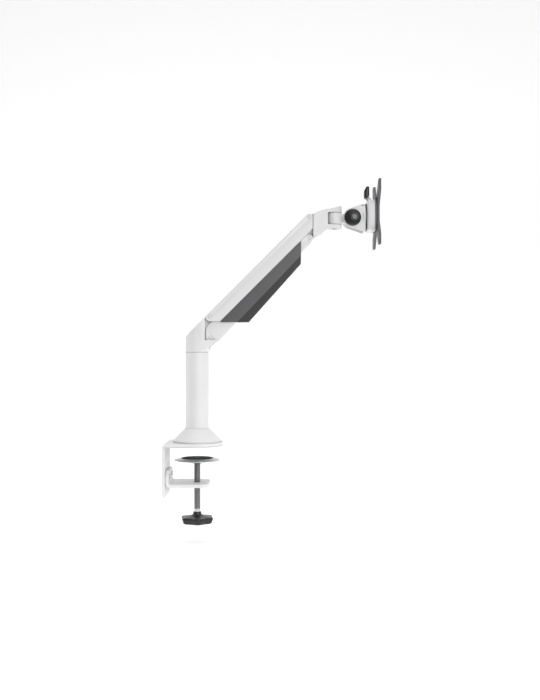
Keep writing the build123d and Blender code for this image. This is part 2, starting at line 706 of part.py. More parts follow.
def make_shoulder():
    """The swivelling shoulder casting, its spindle and retainer, and the link bushes."""
    plan = Circle(POLE_R) + Pos(LIP_REACH / 2, 0) * Rectangle(LIP_REACH, 2 * POLE_R)
    top_z = SEAM_X + SLOPE_RISE + OVER
    column = Pos(0, 0, SHOULDER_Z) * extrude(plan, amount=top_z - SHOULDER_Z)
    rear = -POLE_R - OVER
    side = outline(
        (rear, SHOULDER_Z),
        (rear, rear + SLOPE_RISE),
        (SEAM_X, SEAM_X + SLOPE_RISE),
        (SEAM_X, LIP_TOP),
        (LIP_REACH - 1.2, LIP_TOP),
        ((LIP_REACH - 0.35, LIP_TOP - 0.5), (LIP_REACH, LIP_TIP_Z)),
        (LIP_REACH, SHOULDER_Z),
    )
    flare = spun(
        (0, SHOULDER_Z),
        (POLE_R, SHOULDER_Z),
        (POLE_R, SHOULDER_Z + 1.2),
        (FLARE_R, FLARE_Z),
        (LIP_REACH, LIP_TIP_Z),
        (2 * LIP_REACH, LIP_TIP_Z + LIP_REACH),
        (2 * LIP_REACH, top_z),
        (0, top_z),
    )
    casting = column & slab(side, -POLE_R, POLE_R) & flare
    roof = SLOPE_RISE - SHOULDER_WALL / SIN45
    sweep = (LOWER_DEPTH + SEAM) / SIN45
    mouth = 2 * LIP_REACH
    hollow = outline(
        (CAVITY_X, CAVITY_FLOOR),
        (PIVOT_X - sweep + LOW_PIVOT_Z - CAVITY_FLOOR, CAVITY_FLOOR),
        (mouth, LOW_PIVOT_Z - sweep + PIVOT_X - mouth),
        (mouth, SEAM_X + roof),
        (SEAM_X, SEAM_X + roof),
        (CAVITY_X, CAVITY_X + roof),
    )
    casting -= slab(hollow, -LOWER_OUTER_Y - SEAM, LOWER_OUTER_Y + SEAM)
    swing = disc(PIVOT_X, PIVOT_Z, UPPER_END_R + SEAM)
    casting -= both_sides(swing, CHEEK_OUTER_Y, UPPER_HALF + OVER)
    casting += both_sides(shoulder_cheek_face(), CHEEK_INNER_Y, CHEEK_OUTER_Y)
    bore = PIN_R + RUN_FIT + PIN_BUSH_T
    for pivot_z in (PIVOT_Z, LOW_PIVOT_Z):
        casting -= rod_y(PIVOT_X, pivot_z, -UPPER_HALF - OVER, UPPER_HALF + OVER, bore)
    grip_top = SHOULDER_Z + SPINDLE_GRIP
    casting -= rod_z(0, 0, SHOULDER_Z - OVER, grip_top, SPINDLE_R)
    casting -= rod_z(TENSION_X, 0, CAVITY_FLOOR - TENSION_FOOT, CAVITY_FLOOR + OVER, TENSION_R)
    casting -= rod_z(TENSION_X, 0, TENSION_TOP + OVER, top_z + OVER, HATCH_R)
    keep("shoulder_casting", casting)

    low = LOWER_BUSH_TOP - BUSH_LENGTH - CLEAR
    bolt_top = low + RETAINER_BOLT_GRIP
    spindle = rod_z(0, 0, low, grip_top, SPINDLE_R)
    spindle -= rod_z(0, 0, low - OVER, bolt_top + OVER, RETAINER_BOLT_R)
    keep("shoulder_spindle", spindle)
    washer_low = low - RETAINER_T
    washer = rod_z(0, 0, washer_low, low, RETAINER_R)
    washer -= rod_z(0, 0, washer_low - OVER, low + OVER, RETAINER_BOLT_R)
    keep("spindle_retainer", washer)
    head_low = washer_low - RETAINER_BOLT_HEAD_H
    bolt = rod_z(0, 0, washer_low, bolt_top, RETAINER_BOLT_R)
    bolt += rod_z(0, 0, head_low, washer_low, RETAINER_BOLT_HEAD_R)
    bolt -= Pos(0, 0, head_low - OVER) * hex_prism(HEX_SMALL, HEX_DEPTH + OVER)
    keep("spindle_bolt", bolt)

    bushes = [
        pivot_bush(PIVOT_X, pivot_z, side, CHEEK_INNER_Y, CHEEK_OUTER_Y)
        for pivot_z in (PIVOT_Z, LOW_PIVOT_Z)
        for side in (-1, 1)
    ]
    keep("shoulder_bushes", *bushes)


def pivot_bush(x, z, side, inner_y, outer_y):
    """A flanged bush for a link pin, pressed into one side of a casting."""
    face_y = outer_y + BUSH_FLANGE_T
    bush = rod_y(x, z, inner_y, outer_y, PIN_R + RUN_FIT + PIN_BUSH_T)
    bush += rod_y(x, z, outer_y, face_y, BUSH_FLANGE_R)
    bush -= rod_y(x, z, inner_y - OVER, face_y + OVER, PIN_R + RUN_FIT)
    return bush if side > 0 else mirror(bush, Plane.XZ)


def washer_pair(x, z, low, high, radius, bore):
    """A washer on each side of the middle, about a level cross axis."""
    ring = rod_y(x, z, low, high, radius) - rod_y(x, z, low - OVER, high + OVER, bore)
    return [ring, mirror(ring, Plane.XZ)]


# ---- links ----
def link_pin(x, z, outer_y):
    """A pin through both walls of a link, with a low round head on each end."""
    pin = rod_y(x, z, -outer_y, outer_y, PIN_R)
    pin += rod_y(x, z, outer_y, outer_y + PIN_HEAD_T, PIN_HEAD_R)
    pin += rod_y(x, z, -outer_y - PIN_HEAD_T, -outer_y, PIN_HEAD_R)
    return pin


def make_upper_link():
    end = UPPER_END_R
    tip = UPPER_TIP_R
    start_u = -math.sqrt(end**2 - UPPER_RISE**2)
    heel_mid = in_link(-end * SIN45, -end * SIN45)
    heel = in_link(0, -end)
    cut_x = (UPPER_DEPTH - end * COS_REST) / SIN_REST
    heel_edge = in_link(cut_x, -end)
    tip_x, tip_z = in_link(tip, 0)
    nose_mid = in_link(tip * SIN45, tip * SIN45)
    cut_u = LINK_LENGTH + (tip - UPPER_DEPTH * SIN_REST) / COS_REST
    side = outline(
        (start_u, UPPER_RISE),
        (heel_mid, heel),
        heel_edge,
        (cut_u, -UPPER_DEPTH),
        (LINK_LENGTH + tip_x, tip_z),
        ((LINK_LENGTH + nose_mid[0], nose_mid[1]), (LINK_LENGTH, UPPER_RISE)),
    )
    shell = slab(side, -UPPER_HALF, UPPER_HALF)
    top_edges = shell.edges().filter_by(Axis.X).group_by(Axis.Z)[-1]
    shell = fillet(top_edges, UPPER_EDGE_R)
    far = LINK_LENGTH + 2 * UPPER_END_R
    inner_top = UPPER_RISE - UPPER_WEB_T
    shell -= block((-far, far), (-UPPER_INNER, UPPER_INNER), (-2 * UPPER_DEPTH, inner_top))
    slot_y = (-UPPER_INNER, UPPER_INNER)
    shell -= block((-far, WEB_SLOT_LENGTH), slot_y, (0, 2 * UPPER_RISE))
    shell -= block((LINK_LENGTH - WEB_SLOT_LENGTH, far), slot_y, (0, 2 * UPPER_RISE))
    rib_u, rib_v = SPRING_END
    rib = disc(rib_u, rib_v, RIB_R) + outline(
        (rib_u - RIB_R, rib_v),
        (rib_u - RIB_R, inner_top + 1),
        (rib_u + RIB_R, inner_top + 1),
        (rib_u + RIB_R, rib_v),
    )
    shell += both_sides(rib, RIB_INNER_Y, RIB_INNER_Y + RIB_T)
    shell -= rod_y(rib_u, rib_v, -RIB_INNER_Y - RIB_T - 1, RIB_INNER_Y + RIB_T + 1, PIN_R)
    for u in (0, LINK_LENGTH):
        shell -= rod_y(u, 0, -UPPER_HALF - 1, UPPER_HALF + 1, PIN_R)
    keep("upper_link", raised(shell, PIVOT_Z))

    pins = [link_pin(PIVOT_X, PIVOT_Z, UPPER_HALF), link_pin(HEAD_PIVOT_X, HEAD_PIVOT_Z, UPPER_HALF)]
    keep("upper_link_pins", *pins)
    face = CHEEK_OUTER_Y + BUSH_FLANGE_T + WASHER_GAP
    spacers = []
    for x, z in ((PIVOT_X, PIVOT_Z), (HEAD_PIVOT_X, HEAD_PIVOT_Z)):
        spacers += washer_pair(x, z, face, UPPER_INNER, SPACER_R, PIN_R)
    keep("upper_link_spacers", *spacers)
    pin_half = RIB_INNER_Y + RIB_T
    keep("spring_head_pin", raised(rod_y(rib_u, rib_v, -pin_half, pin_half, PIN_R), PIVOT_Z))


def lower_floor(u):
    """Height of the lower link's under edge at a place along it."""
    share = (u - LOWER_FLOOR_START) / (LINK_LENGTH - LOWER_FLOOR_START)
    return -LOWER_DEPTH + share * (LOWER_DEPTH - LOWER_TIP_R)


def lower_link_side():
    """Side outline of the lower link's walls, drawn level from its pivot."""
    heel_u = (LOWER_RISE * SIN_REST - LOWER_HEEL) / COS_REST
    heel_r = LOWER_HEEL / COS_REST
    tip = LOWER_TIP_R
    nose = tip * SIN45
    side = outline(
        (heel_u, LOWER_RISE),
        (-heel_r, 0),
        ((-heel_r * SIN45, -heel_r * SIN45), (0, -heel_r)),
        (LOWER_FLOOR_START, lower_floor(LOWER_FLOOR_START)),
        (LINK_LENGTH, -tip),
        ((LINK_LENGTH + tip, 0), (LINK_LENGTH + nose, nose)),
        (LINK_LENGTH + 2 * nose - LOWER_RISE, LOWER_RISE),
    )
    heel = side.vertices().sort_by_distance((heel_u, LOWER_RISE, 0))[0]
    return fillet(heel, LOWER_HEEL_R)


def make_lower_link():
    channel = both_sides(lower_link_side(), LOWER_INNER, LOWER_OUTER_Y)
    start = LOWER_FLOOR_START
    stop = LINK_LENGTH - LOWER_FLOOR_STOP
    floor = outline(
        (start, lower_floor(start)),
        (stop, lower_floor(stop)),
        (stop, lower_floor(stop) + LOWER_FLOOR_T),
        (start, lower_floor(start) + LOWER_FLOOR_T),
    )
    channel += slab(floor, -LOWER_INNER - 0.5, LOWER_INNER + 0.5)
    for u in (0, LINK_LENGTH):
        channel -= rod_y(u, 0, -LOWER_OUTER_Y - 1, LOWER_OUTER_Y + 1, PIN_R)
    keep("lower_link", raised(channel, LOW_PIVOT_Z))

    head_z = LOW_HEAD_PIVOT_Z
    pins = [low_link_pin(PIVOT_X, LOW_PIVOT_Z), low_link_pin(HEAD_PIVOT_X, head_z)]
    keep("lower_link_pins", *pins)
    face = CHEEK_OUTER_Y + BUSH_FLANGE_T + WASHER_GAP
    washers = []
    for x, z in ((PIVOT_X, LOW_PIVOT_Z), (HEAD_PIVOT_X, head_z)):
        washers += washer_pair(x, z, face, LOWER_INNER, SPACER_R, PIN_R)
    keep("lower_link_washers", *washers)


def low_link_pin(x, z):
    """A pin riveted flush into the lower link, which turns inside a narrow casting."""
    head = SEAM / 2
    pin = rod_y(x, z, -LOWER_OUTER_Y, LOWER_OUTER_Y, PIN_R)
    pin += rod_y(x, z, LOWER_OUTER_Y, LOWER_OUTER_Y + head, PIN_HEAD_R)
    pin += rod_y(x, z, -LOWER_OUTER_Y - head, -LOWER_OUTER_Y, PIN_HEAD_R)
    return pin


def cover_section(u, wall):
    """Cross-section of the under cover at a place along the link."""
    share = (u - COVER_NEAR_AT) / (COVER_FAR_AT - COVER_NEAR_AT)
    bevel = -(COVER_BEVEL_NEAR + share * (COVER_BEVEL_FAR - COVER_BEVEL_NEAR))
    low = -(COVER_DEPTH_NEAR + share * (COVER_DEPTH_FAR - COVER_DEPTH_NEAR)) + wall
    top = COVER_RISE + (OVER if wall else 0)
    half = UPPER_HALF - wall
    floor = COVER_FLOOR_Y - wall / 2
    face = outline((-half, top), (-half, bevel), (-floor, low), (floor, low), (half, bevel), (half, top))
    return Plane(origin=(u, 0, 0), x_dir=(0, 1, 0), z_dir=(1, 0, 0)) * face


def cover_side(grow):
    """Side outline of the under cover with its two ends cut level and upright."""
    low = -2 * COVER_DEPTH_NEAR
    top = COVER_RISE + 2 * OVER
    level = COVER_CUT_LOW + grow
    upright = (LINK_LENGTH * COS_REST - COVER_CUT_FAR) - grow
    return outline(
        ((level - top * COS_REST) / SIN_REST, top),
        ((level - low * COS_REST) / SIN_REST, low),
        ((upright + low * SIN_REST) / COS_REST, low),
        ((upright + top * SIN_REST) / COS_REST, top),
    )


def make_cover():
    """The moulded cover under the lower link, clipped to its walls by pads."""
    near, far = COVER_PAD_LENGTH, LINK_LENGTH
    outer = loft([cover_section(near, 0), cover_section(far, 0)], ruled=True)
    inner = loft([cover_section(near, COVER_WALL), cover_section(far, COVER_WALL)], ruled=True)
    outer &= slab(cover_side(0), -UPPER_HALF - OVER, UPPER_HALF + OVER)
    inner &= slab(cover_side(COVER_WALL), -UPPER_HALF - OVER, UPPER_HALF + OVER)
    passage = outline(
        (0, lower_floor(0) - CLEAR),
        (LINK_LENGTH, lower_floor(LINK_LENGTH) - CLEAR),
        (LINK_LENGTH, 2 * LOWER_RISE),
        (0, 2 * LOWER_RISE),
    )
    cover = outer - inner
    cover -= slab(passage, -LOWER_OUTER_Y - CLEAR, LOWER_OUTER_Y + CLEAR)
    for share in COVER_PAD_SHARES:
        u = share * LINK_LENGTH
        pad = outline(
            (u, COVER_PAD_LOW),
            (u + COVER_PAD_LENGTH, COVER_PAD_LOW),
            (u + COVER_PAD_LENGTH, COVER_PAD_HIGH),
            (u, COVER_PAD_HIGH),
        )
        cover += both_sides(pad, LOWER_OUTER_Y, UPPER_HALF - COVER_WALL / 2)
    keep("lower_cover", raised(cover, LOW_PIVOT_Z))


# ---- gas spring ----
def make_gas_spring():
    """The gas spring: tube and guide, then rod, piston and the slotted eye at its head end."""
    start = SPRING_START
    stop = start + SPRING_BODY
    inner_r = SPRING_R - SPRING_WALL
    tube = rod_x(start, stop, 0, 0, SPRING_R)
    tube -= rod_x(start + SPRING_END_T, stop + OVER, 0, 0, inner_r)
    neck = outline(
        (0, -SPRING_NECK_HALF),
        (start + OVER, -SPRING_NECK_HALF),
        (start + OVER, SPRING_NECK_HALF),
        (0, SPRING_NECK_HALF),
    )
    tube += slab(disc(0, 0, SPRING_EYE_R) + neck, -SPRING_EYE_HALF, SPRING_EYE_HALF)
    tube -= rod_y(0, 0, -SPRING_EYE_HALF - OVER, SPRING_EYE_HALF + OVER, PIN_R + RUN_FIT)
    keep("gas_spring_tube", raised(tube, SPRING_Z))

    guide = rod_x(stop - SPRING_GUIDE_T, stop, 0, 0, inner_r)
    guide -= rod_x(stop - SPRING_GUIDE_T - OVER, stop + OVER, 0, 0, SPRING_ROD_R + RUN_FIT)
    keep("gas_spring_guide", raised(guide, SPRING_Z))

    reach = SPRING_SPAN + SPRING_DROP * SIN_REST
    slot_half = PIN_R + ROD_EYE_SLIP
    eye_r = slot_half + ROD_EYE_WALL
    rod_end = reach - eye_r + OVER
    rod = rod_x(SPRING_PISTON_AT, rod_end, 0, 0, SPRING_ROD_R)
    keep("gas_spring_rod", raised(rod, SPRING_Z))
    piston_back = SPRING_PISTON_AT - SPRING_PISTON_T
    piston = rod_x(piston_back, SPRING_PISTON_AT, 0, 0, inner_r - RUN_FIT)
    keep("gas_spring_piston", raised(piston, SPRING_Z))

    socket_start = reach - eye_r - ROD_SOCKET
    body = Pos(reach, 0) * SlotOverall(2 * (eye_r + ROD_EYE_PLAY), 2 * eye_r, rotation=90)
    body += outline(
        (socket_start, -ROD_SOCKET_HALF),
        (reach - slot_half - OVER, -ROD_SOCKET_HALF),
        (reach - slot_half - OVER, ROD_SOCKET_HALF),
        (socket_start, ROD_SOCKET_HALF),
    )
    body -= Pos(reach, 0) * SlotOverall(2 * (slot_half + ROD_EYE_PLAY), 2 * slot_half, rotation=90)
    rod_eye = slab(body, -ROD_EYE_HALF, ROD_EYE_HALF)
    rod_eye -= rod_x(socket_start - OVER, rod_end, 0, 0, SPRING_ROD_R)
    keep("gas_spring_eye", raised(rod_eye, SPRING_Z))


def make_tension_carriage():
    """The carriage that holds the spring's lower pin, and the screw that sets it."""
    cheek = disc(PIVOT_X, SPRING_Z, SPRING_EYE_R) + outline(
        (CARRIAGE_BACK, CARRIAGE_LOW),
        (TENSION_X + 2 * TENSION_R, CARRIAGE_LOW),
        (PIVOT_X + SPRING_EYE_R * SIN45, SPRING_Z - SPRING_EYE_R * SIN45),
        (PIVOT_X - SPRING_EYE_R * 0.4, SPRING_Z + SPRING_EYE_R * 0.9),
        (CARRIAGE_BACK, CARRIAGE_LOW + CARRIAGE_H),
    )
    half = CHEEK_INNER_Y - WASHER_GAP
    carriage = slab(cheek, -half, half)
    swing_r = SPRING_EYE_R + 4 * CLEAR
    ahead = PIVOT_X + 3 * SPRING_EYE_R
    gap = disc(PIVOT_X, SPRING_Z, swing_r) + outline(
        (PIVOT_X, SPRING_Z - swing_r),
        (ahead, SPRING_Z - swing_r - 3 * SPRING_EYE_R),
        (ahead, SPRING_Z + 3 * SPRING_EYE_R),
        (PIVOT_X, SPRING_Z + swing_r),
    )
    carriage -= slab(gap, -SPRING_EYE_HALF - CLEAR / 2, SPRING_EYE_HALF + CLEAR / 2)
    carriage -= rod_y(PIVOT_X, SPRING_Z, -half - OVER, half + OVER, PIN_R)
    carriage -= rod_z(TENSION_X, 0, CARRIAGE_LOW - OVER, SPRING_Z, TENSION_R)
    head_low = TENSION_TOP - TENSION_HEAD_H
    head_room = SPRING_Z + 2 * SPRING_EYE_R
    carriage -= rod_z(TENSION_X, 0, head_low - 4 * OVER, head_room, TENSION_HEAD_R + CLEAR)
    keep("tension_carriage", carriage)
    keep("spring_anchor_pin", rod_y(PIVOT_X, SPRING_Z, -half, half, PIN_R))

    screw = rod_z(TENSION_X, 0, CAVITY_FLOOR - TENSION_FOOT, TENSION_TOP, TENSION_R - RUN_FIT)
    screw += rod_z(TENSION_X, 0, head_low, TENSION_TOP, TENSION_HEAD_R)
    screw -= Pos(TENSION_X, 0, TENSION_TOP - HEX_DEPTH) * hex_prism(HEX_SMALL, HEX_DEPTH + OVER)
    keep("tension_screw", screw)


# ---- head casting ----
def make_head():
    """The head casting with its fork, the swivel bolt and nut, and the friction plates."""
    end_x = SWIVEL_X + EAR_R + OVER
    side = outline(
        (HEAD_X, LOW_HEAD_PIVOT_Z + 2.4),
        (HEAD_X + 8.0, LOW_HEAD_PIVOT_Z + 4.1),
        (HEAD_X + 15.0, LOW_HEAD_PIVOT_Z + 7.9),
        (NECK_X - 1.0, TILT_Z - 22.5),
        ((NECK_X + 1.6, TILT_Z - 20.3), (NECK_X + 5.0, TILT_Z - 19.0)),
        (SWIVEL_X - 1.2, TILT_Z - 18.2),
        (SWIVEL_X + 8.8, TILT_Z - 18.7),
        (end_x, TILT_Z - 17.0),
        (end_x, TILT_Z + 21.0),
        (SWIVEL_X + 10.8, TILT_Z + 22.8),
        (SWIVEL_X + 1.8, TILT_Z + 20.1),
        (SWIVEL_X - 6.2, TILT_Z + 17.2),
        ((NECK_X + 5.0, TILT_Z + 16.9), (NECK_X, TILT_Z + 16.4)),
        (NECK_X - 11.0, TILT_Z + 12.7),
        (HEAD_X, HEAD_PIVOT_Z + 5.3),
    )
    shoulder_x = HEAD_X + NECK_REACH / 3
    cheek_mid_x = NECK_X - NECK_REACH * 0.4
    waist = NECK_HALF + (HEAD_HALF - NECK_HALF) * 0.44
    plan = outline(
        (HEAD_X - OVER, -HEAD_HALF),
        (shoulder_x, -HEAD_HALF + SEAM),
        ((cheek_mid_x, -waist), (NECK_X, -NECK_HALF)),
        (SWIVEL_X, -EAR_R),
        ((SWIVEL_X + EAR_R, 0), (SWIVEL_X, EAR_R)),
        (NECK_X, NECK_HALF),
        ((cheek_mid_x, waist), (shoulder_x, HEAD_HALF - SEAM)),
        (HEAD_X - OVER, HEAD_HALF),
    )
    top_z = HEAD_PIVOT_Z + HEAD_HALF + EAR_R
    low_z = LOW_HEAD_PIVOT_Z - OVER
    tall = Pos(0, 0, low_z) * extrude(plan, amount=top_z - low_z)
    casting = slab(side, -HEAD_HALF - OVER, HEAD_HALF + OVER) & tall
    fork = rod_z(SWIVEL_X, 0, FORK_LOW, FORK_HIGH, FORK_GAP_R)
    fork += block((SWIVEL_X, 2 * SWIVEL_X), (-FORK_GAP_R, FORK_GAP_R), (FORK_LOW, FORK_HIGH))
    casting -= fork
    tongue = disc(HEAD_PIVOT_X, HEAD_PIVOT_Z, TONGUE_R) + disc(HEAD_PIVOT_X, LOW_HEAD_PIVOT_Z, TONGUE_R)
    root_x = HEAD_X + 4 * OVER
    tongue += outline(
        (HEAD_PIVOT_X - TONGUE_R, LOW_HEAD_PIVOT_Z),
        (HEAD_PIVOT_X - TONGUE_R, HEAD_PIVOT_Z),
        (HEAD_PIVOT_X, HEAD_PIVOT_Z + TONGUE_R),
        (root_x, HEAD_PIVOT_Z + TONGUE_R),
        (root_x, LOW_HEAD_PIVOT_Z + 3.4),
        (HEAD_PIVOT_X + TONGUE_R * 0.4, LOW_HEAD_PIVOT_Z - TONGUE_R * 0.9),
    )
    casting += slab(tongue, -CHEEK_OUTER_Y, CHEEK_OUTER_Y)
    bore = PIN_R + RUN_FIT + PIN_BUSH_T
    for pivot_z in (HEAD_PIVOT_Z, LOW_HEAD_PIVOT_Z):
        casting -= rod_y(HEAD_PIVOT_X, pivot_z, -HEAD_HALF - OVER, HEAD_HALF + OVER, bore)
    casting -= rod_z(SWIVEL_X, 0, low_z, top_z, SWIVEL_BOLT_R)
    casting -= rod_z(SWIVEL_X, 0, low_z, SWIVEL_HEAD_SEAT, SWIVEL_HEAD_R + CLEAR)
    casting -= rod_z(SWIVEL_X, 0, SWIVEL_NUT_SEAT, top_z, SWIVEL_NUT_R + CLEAR)
    keep("head_casting", casting)

    bushes = [
        pivot_bush(HEAD_PIVOT_X, pivot_z, side, CHEEK_INNER_Y, CHEEK_OUTER_Y)
        for pivot_z in (HEAD_PIVOT_Z, LOW_HEAD_PIVOT_Z)
        for side in (-1, 1)
    ]
    keep("head_bushes", *bushes)

    head_low = SWIVEL_HEAD_SEAT - SWIVEL_HEAD_H
    nut_top = SWIVEL_NUT_SEAT + SWIVEL_NUT_H
    bolt = rod_z(SWIVEL_X, 0, SWIVEL_HEAD_SEAT, nut_top, SWIVEL_BOLT_R)
    bolt += rod_z(SWIVEL_X, 0, head_low, SWIVEL_HEAD_SEAT, SWIVEL_HEAD_R)
    bolt -= Pos(SWIVEL_X, 0, head_low - OVER) * hex_prism(HEX_LARGE, HEX_DEPTH + OVER)
    keep("swivel_bolt", bolt)
    nut = Pos(SWIVEL_X, 0, SWIVEL_NUT_SEAT) * hex_prism(SWIVEL_NUT_R, SWIVEL_NUT_H)
    nut -= rod_z(SWIVEL_X, 0, SWIVEL_NUT_SEAT - OVER, nut_top + OVER, SWIVEL_BOLT_R)
    keep("swivel_nut", nut)
    plates = []
    for low in (FORK_LOW, FORK_HIGH - SWIVEL_PLATE_T):
        high = low + SWIVEL_PLATE_T
        plate = rod_z(SWIVEL_X, 0, low, high, KNUCKLE_R - 2 * CLEAR)
        plates.append(plate - rod_z(SWIVEL_X, 0, low - OVER, high + OVER, SWIVEL_BOLT_R))
    keep("swivel_friction_plates", *plates)


def make_knuckle():
    """The knuckle between the swivel bolt and the tilt bolt."""
    low = FORK_LOW + SWIVEL_PLATE_T
    high = FORK_HIGH - SWIVEL_PLATE_T
    knuckle = rod_z(SWIVEL_X, 0, low, high, KNUCKLE_R)
    neck = block(
        (SWIVEL_X, TILT_X),
        (-KNUCKLE_NECK_HALF_Y, KNUCKLE_NECK_HALF_Y),
        (TILT_Z - KNUCKLE_NECK_HALF_Z, TILT_Z + KNUCKLE_NECK_HALF_Z),
    )
    knuckle += fillet(neck.edges().filter_by(Axis.X), KNUCKLE_NECK_R)
    barrel = TILT_BARREL_HALF
    knuckle += rod_y(TILT_X, TILT_Z, -barrel, barrel, TILT_BARREL_R)
    knuckle -= rod_z(SWIVEL_X, 0, low - OVER, high + OVER, SWIVEL_BOLT_R + RUN_FIT)
    knuckle -= rod_y(TILT_X, TILT_Z, -barrel - OVER, barrel + OVER, TILT_BOLT_R + RUN_FIT)
    keep("swivel_knuckle", knuckle)


# ---- tilt bracket ----
def bracket_face(inset):
    """Side outline of the tilt bracket, drawn a wall's thickness smaller where asked."""
    radius = TILT_CHEEK_R - inset
    tangent_x = TILT_X - radius * 0.2
    rise = radius * 0.98
    return disc(TILT_X, TILT_Z, radius) + outline(
        (tangent_x, TILT_Z + rise),
        (FLANGE_BACK, ROTATE_Z + FLANGE_R - inset),
        (FLANGE_BACK, ROTATE_Z - FLANGE_LOW + inset),
        (tangent_x, TILT_Z - rise),
    )


def make_tilt_bracket():
    """The tilt bracket, open underneath, with its friction washers and the rotation friction parts."""
    flange = rod_x(FLANGE_BACK, FLANGE_FRONT, 0, ROTATE_Z, FLANGE_R)
    flange += block(
        (FLANGE_BACK, FLANGE_FRONT),
        (-CHEEK_OUTER, CHEEK_OUTER),
        (ROTATE_Z - FLANGE_LOW, ROTATE_Z),
    )
    body = slab(bracket_face(0), -CHEEK_OUTER, CHEEK_OUTER)
    rear = TILT_X - 2 * TILT_CHEEK_R
    below = ROTATE_Z - 2 * FLANGE_R
    above = ROTATE_Z + 2 * FLANGE_R
    open_side = outline(
        (rear, above),
        (BRACKET_WEB_X, above),
        (BRACKET_WEB_X, TILT_Z),
        (FLANGE_BACK, TILT_Z),
        (FLANGE_BACK, below),
        (rear, below),
    )
    hollow = slab(bracket_face(BRACKET_WEB_T) + open_side, -CHEEK_INNER, CHEEK_INNER)
    taper = FLANGE_BACK - TILT_X
    hood = Pos(TILT_X + taper / 2, 0, ROTATE_Z) * Rot(0, 90, 0) * Cone(
        FLANGE_R + taper * HOOD_SLOPE, FLANGE_R, taper
    )
    lower_half = block((TILT_X, FLANGE_BACK), (-CHEEK_OUTER, CHEEK_OUTER), (below, ROTATE_Z))
    ears = block((rear, TILT_X), (-CHEEK_OUTER, CHEEK_OUTER), (below, above))
    body &= hood + lower_half + ears
    bracket = body - hollow + flange
    bracket -= rod_x(FLANGE_BACK - OVER, FLANGE_FRONT + OVER, 0, ROTATE_Z, ROTATE_BOLT_R + RUN_FIT)
    bracket -= rod_y(TILT_X, TILT_Z, -CHEEK_OUTER - OVER, CHEEK_OUTER + OVER, TILT_BOLT_R)
    keep("tilt_bracket", bracket)

    low = TILT_BARREL_HALF + WASHER_GAP
    washers = washer_pair(TILT_X, TILT_Z, low, low + TILT_WASHER_T, TILT_WASHER_R, TILT_BOLT_R)
    keep("tilt_friction_washers", *washers)

    ring_front = FLANGE_FRONT + FRICTION_T
    ring = rod_x(FLANGE_FRONT, ring_front, 0, ROTATE_Z, FLANGE_R)
    ring -= rod_x(FLANGE_FRONT - OVER, ring_front + OVER, 0, ROTATE_Z, ROTATE_BOLT_R + CLEAR)
    keep("rotation_friction_ring", ring)
    cup_back = FLANGE_BACK - SPRING_WASHER_T
    cup = rod_x(cup_back, FLANGE_BACK, 0, ROTATE_Z, SPRING_WASHER_R)
    cup -= rod_x(cup_back - OVER, FLANGE_BACK + OVER, 0, ROTATE_Z, ROTATE_BOLT_R + CLEAR)
    keep("rotation_spring_washer", cup)


def make_tilt_bolt():
    """The tilt bolt and nut, and the two domed caps that hide them."""
    seat = CHEEK_OUTER
    bolt = rod_y(TILT_X, TILT_Z, -seat, seat + TILT_NUT_H, TILT_BOLT_R)
    bolt += rod_y(TILT_X, TILT_Z, -seat - TILT_NUT_H, -seat, TILT_NUT_R)
    keep("tilt_bolt", bolt)
    nut = Pos(TILT_X, seat, TILT_Z) * Rot(-90, 0, 0) * hex_prism(TILT_NUT_R, TILT_NUT_H)
    nut -= rod_y(TILT_X, TILT_Z, seat - OVER, seat + TILT_NUT_H + OVER, TILT_BOLT_R)
    keep("tilt_nut", nut)

    rim = CAP_H - CAP_DOME
    section = outline(
        (0, CAP_H),
        ((CAP_R * 0.6, CAP_H - CAP_DOME * 0.42), (CAP_R - CAP_EDGE, rim)),
        (CAP_R, rim - CAP_EDGE),
        (CAP_R, 0),
        (CAP_R - CAP_SKIN, 0),
        (CAP_R - CAP_SKIN, rim - CAP_SKIN),
        (0, CAP_H - CAP_SKIN),
    )
    far_cap = Pos(TILT_X, CHEEK_OUTER, TILT_Z) * revolve(Plane.XY * section, Axis.Y)
    keep("tilt_cap_far", far_cap)
    keep("tilt_cap_near", mirror(far_cap, Plane.XZ))


# ---- head block, plate and thumb screw ----
def dovetail(extra):
    """Plan of the quick-release dovetail, grown all round where asked."""
    back = BLOCK_FRONT - SLOT_DEPTH - extra
    half_back = SLOT_HALF_BACK + extra
    half_front = SLOT_HALF_FRONT + extra
    front = BLOCK_FRONT + ADAPTER_GAP + CLEAR
    return outline((back, -half_back), (front, -half_front), (front, half_front), (back, half_back))


def along_thumb(start, stop, radius):
    """A cylinder on the thumb screw's slanting axis, measured inward from its seat."""
    middle = (start + stop) / 2
    slant = Pos(THUMB_X, 0, THUMB_Z) * Rot(0, 135, 0)
    return slant * Pos(0, 0, middle) * Cylinder(radius, stop - start)


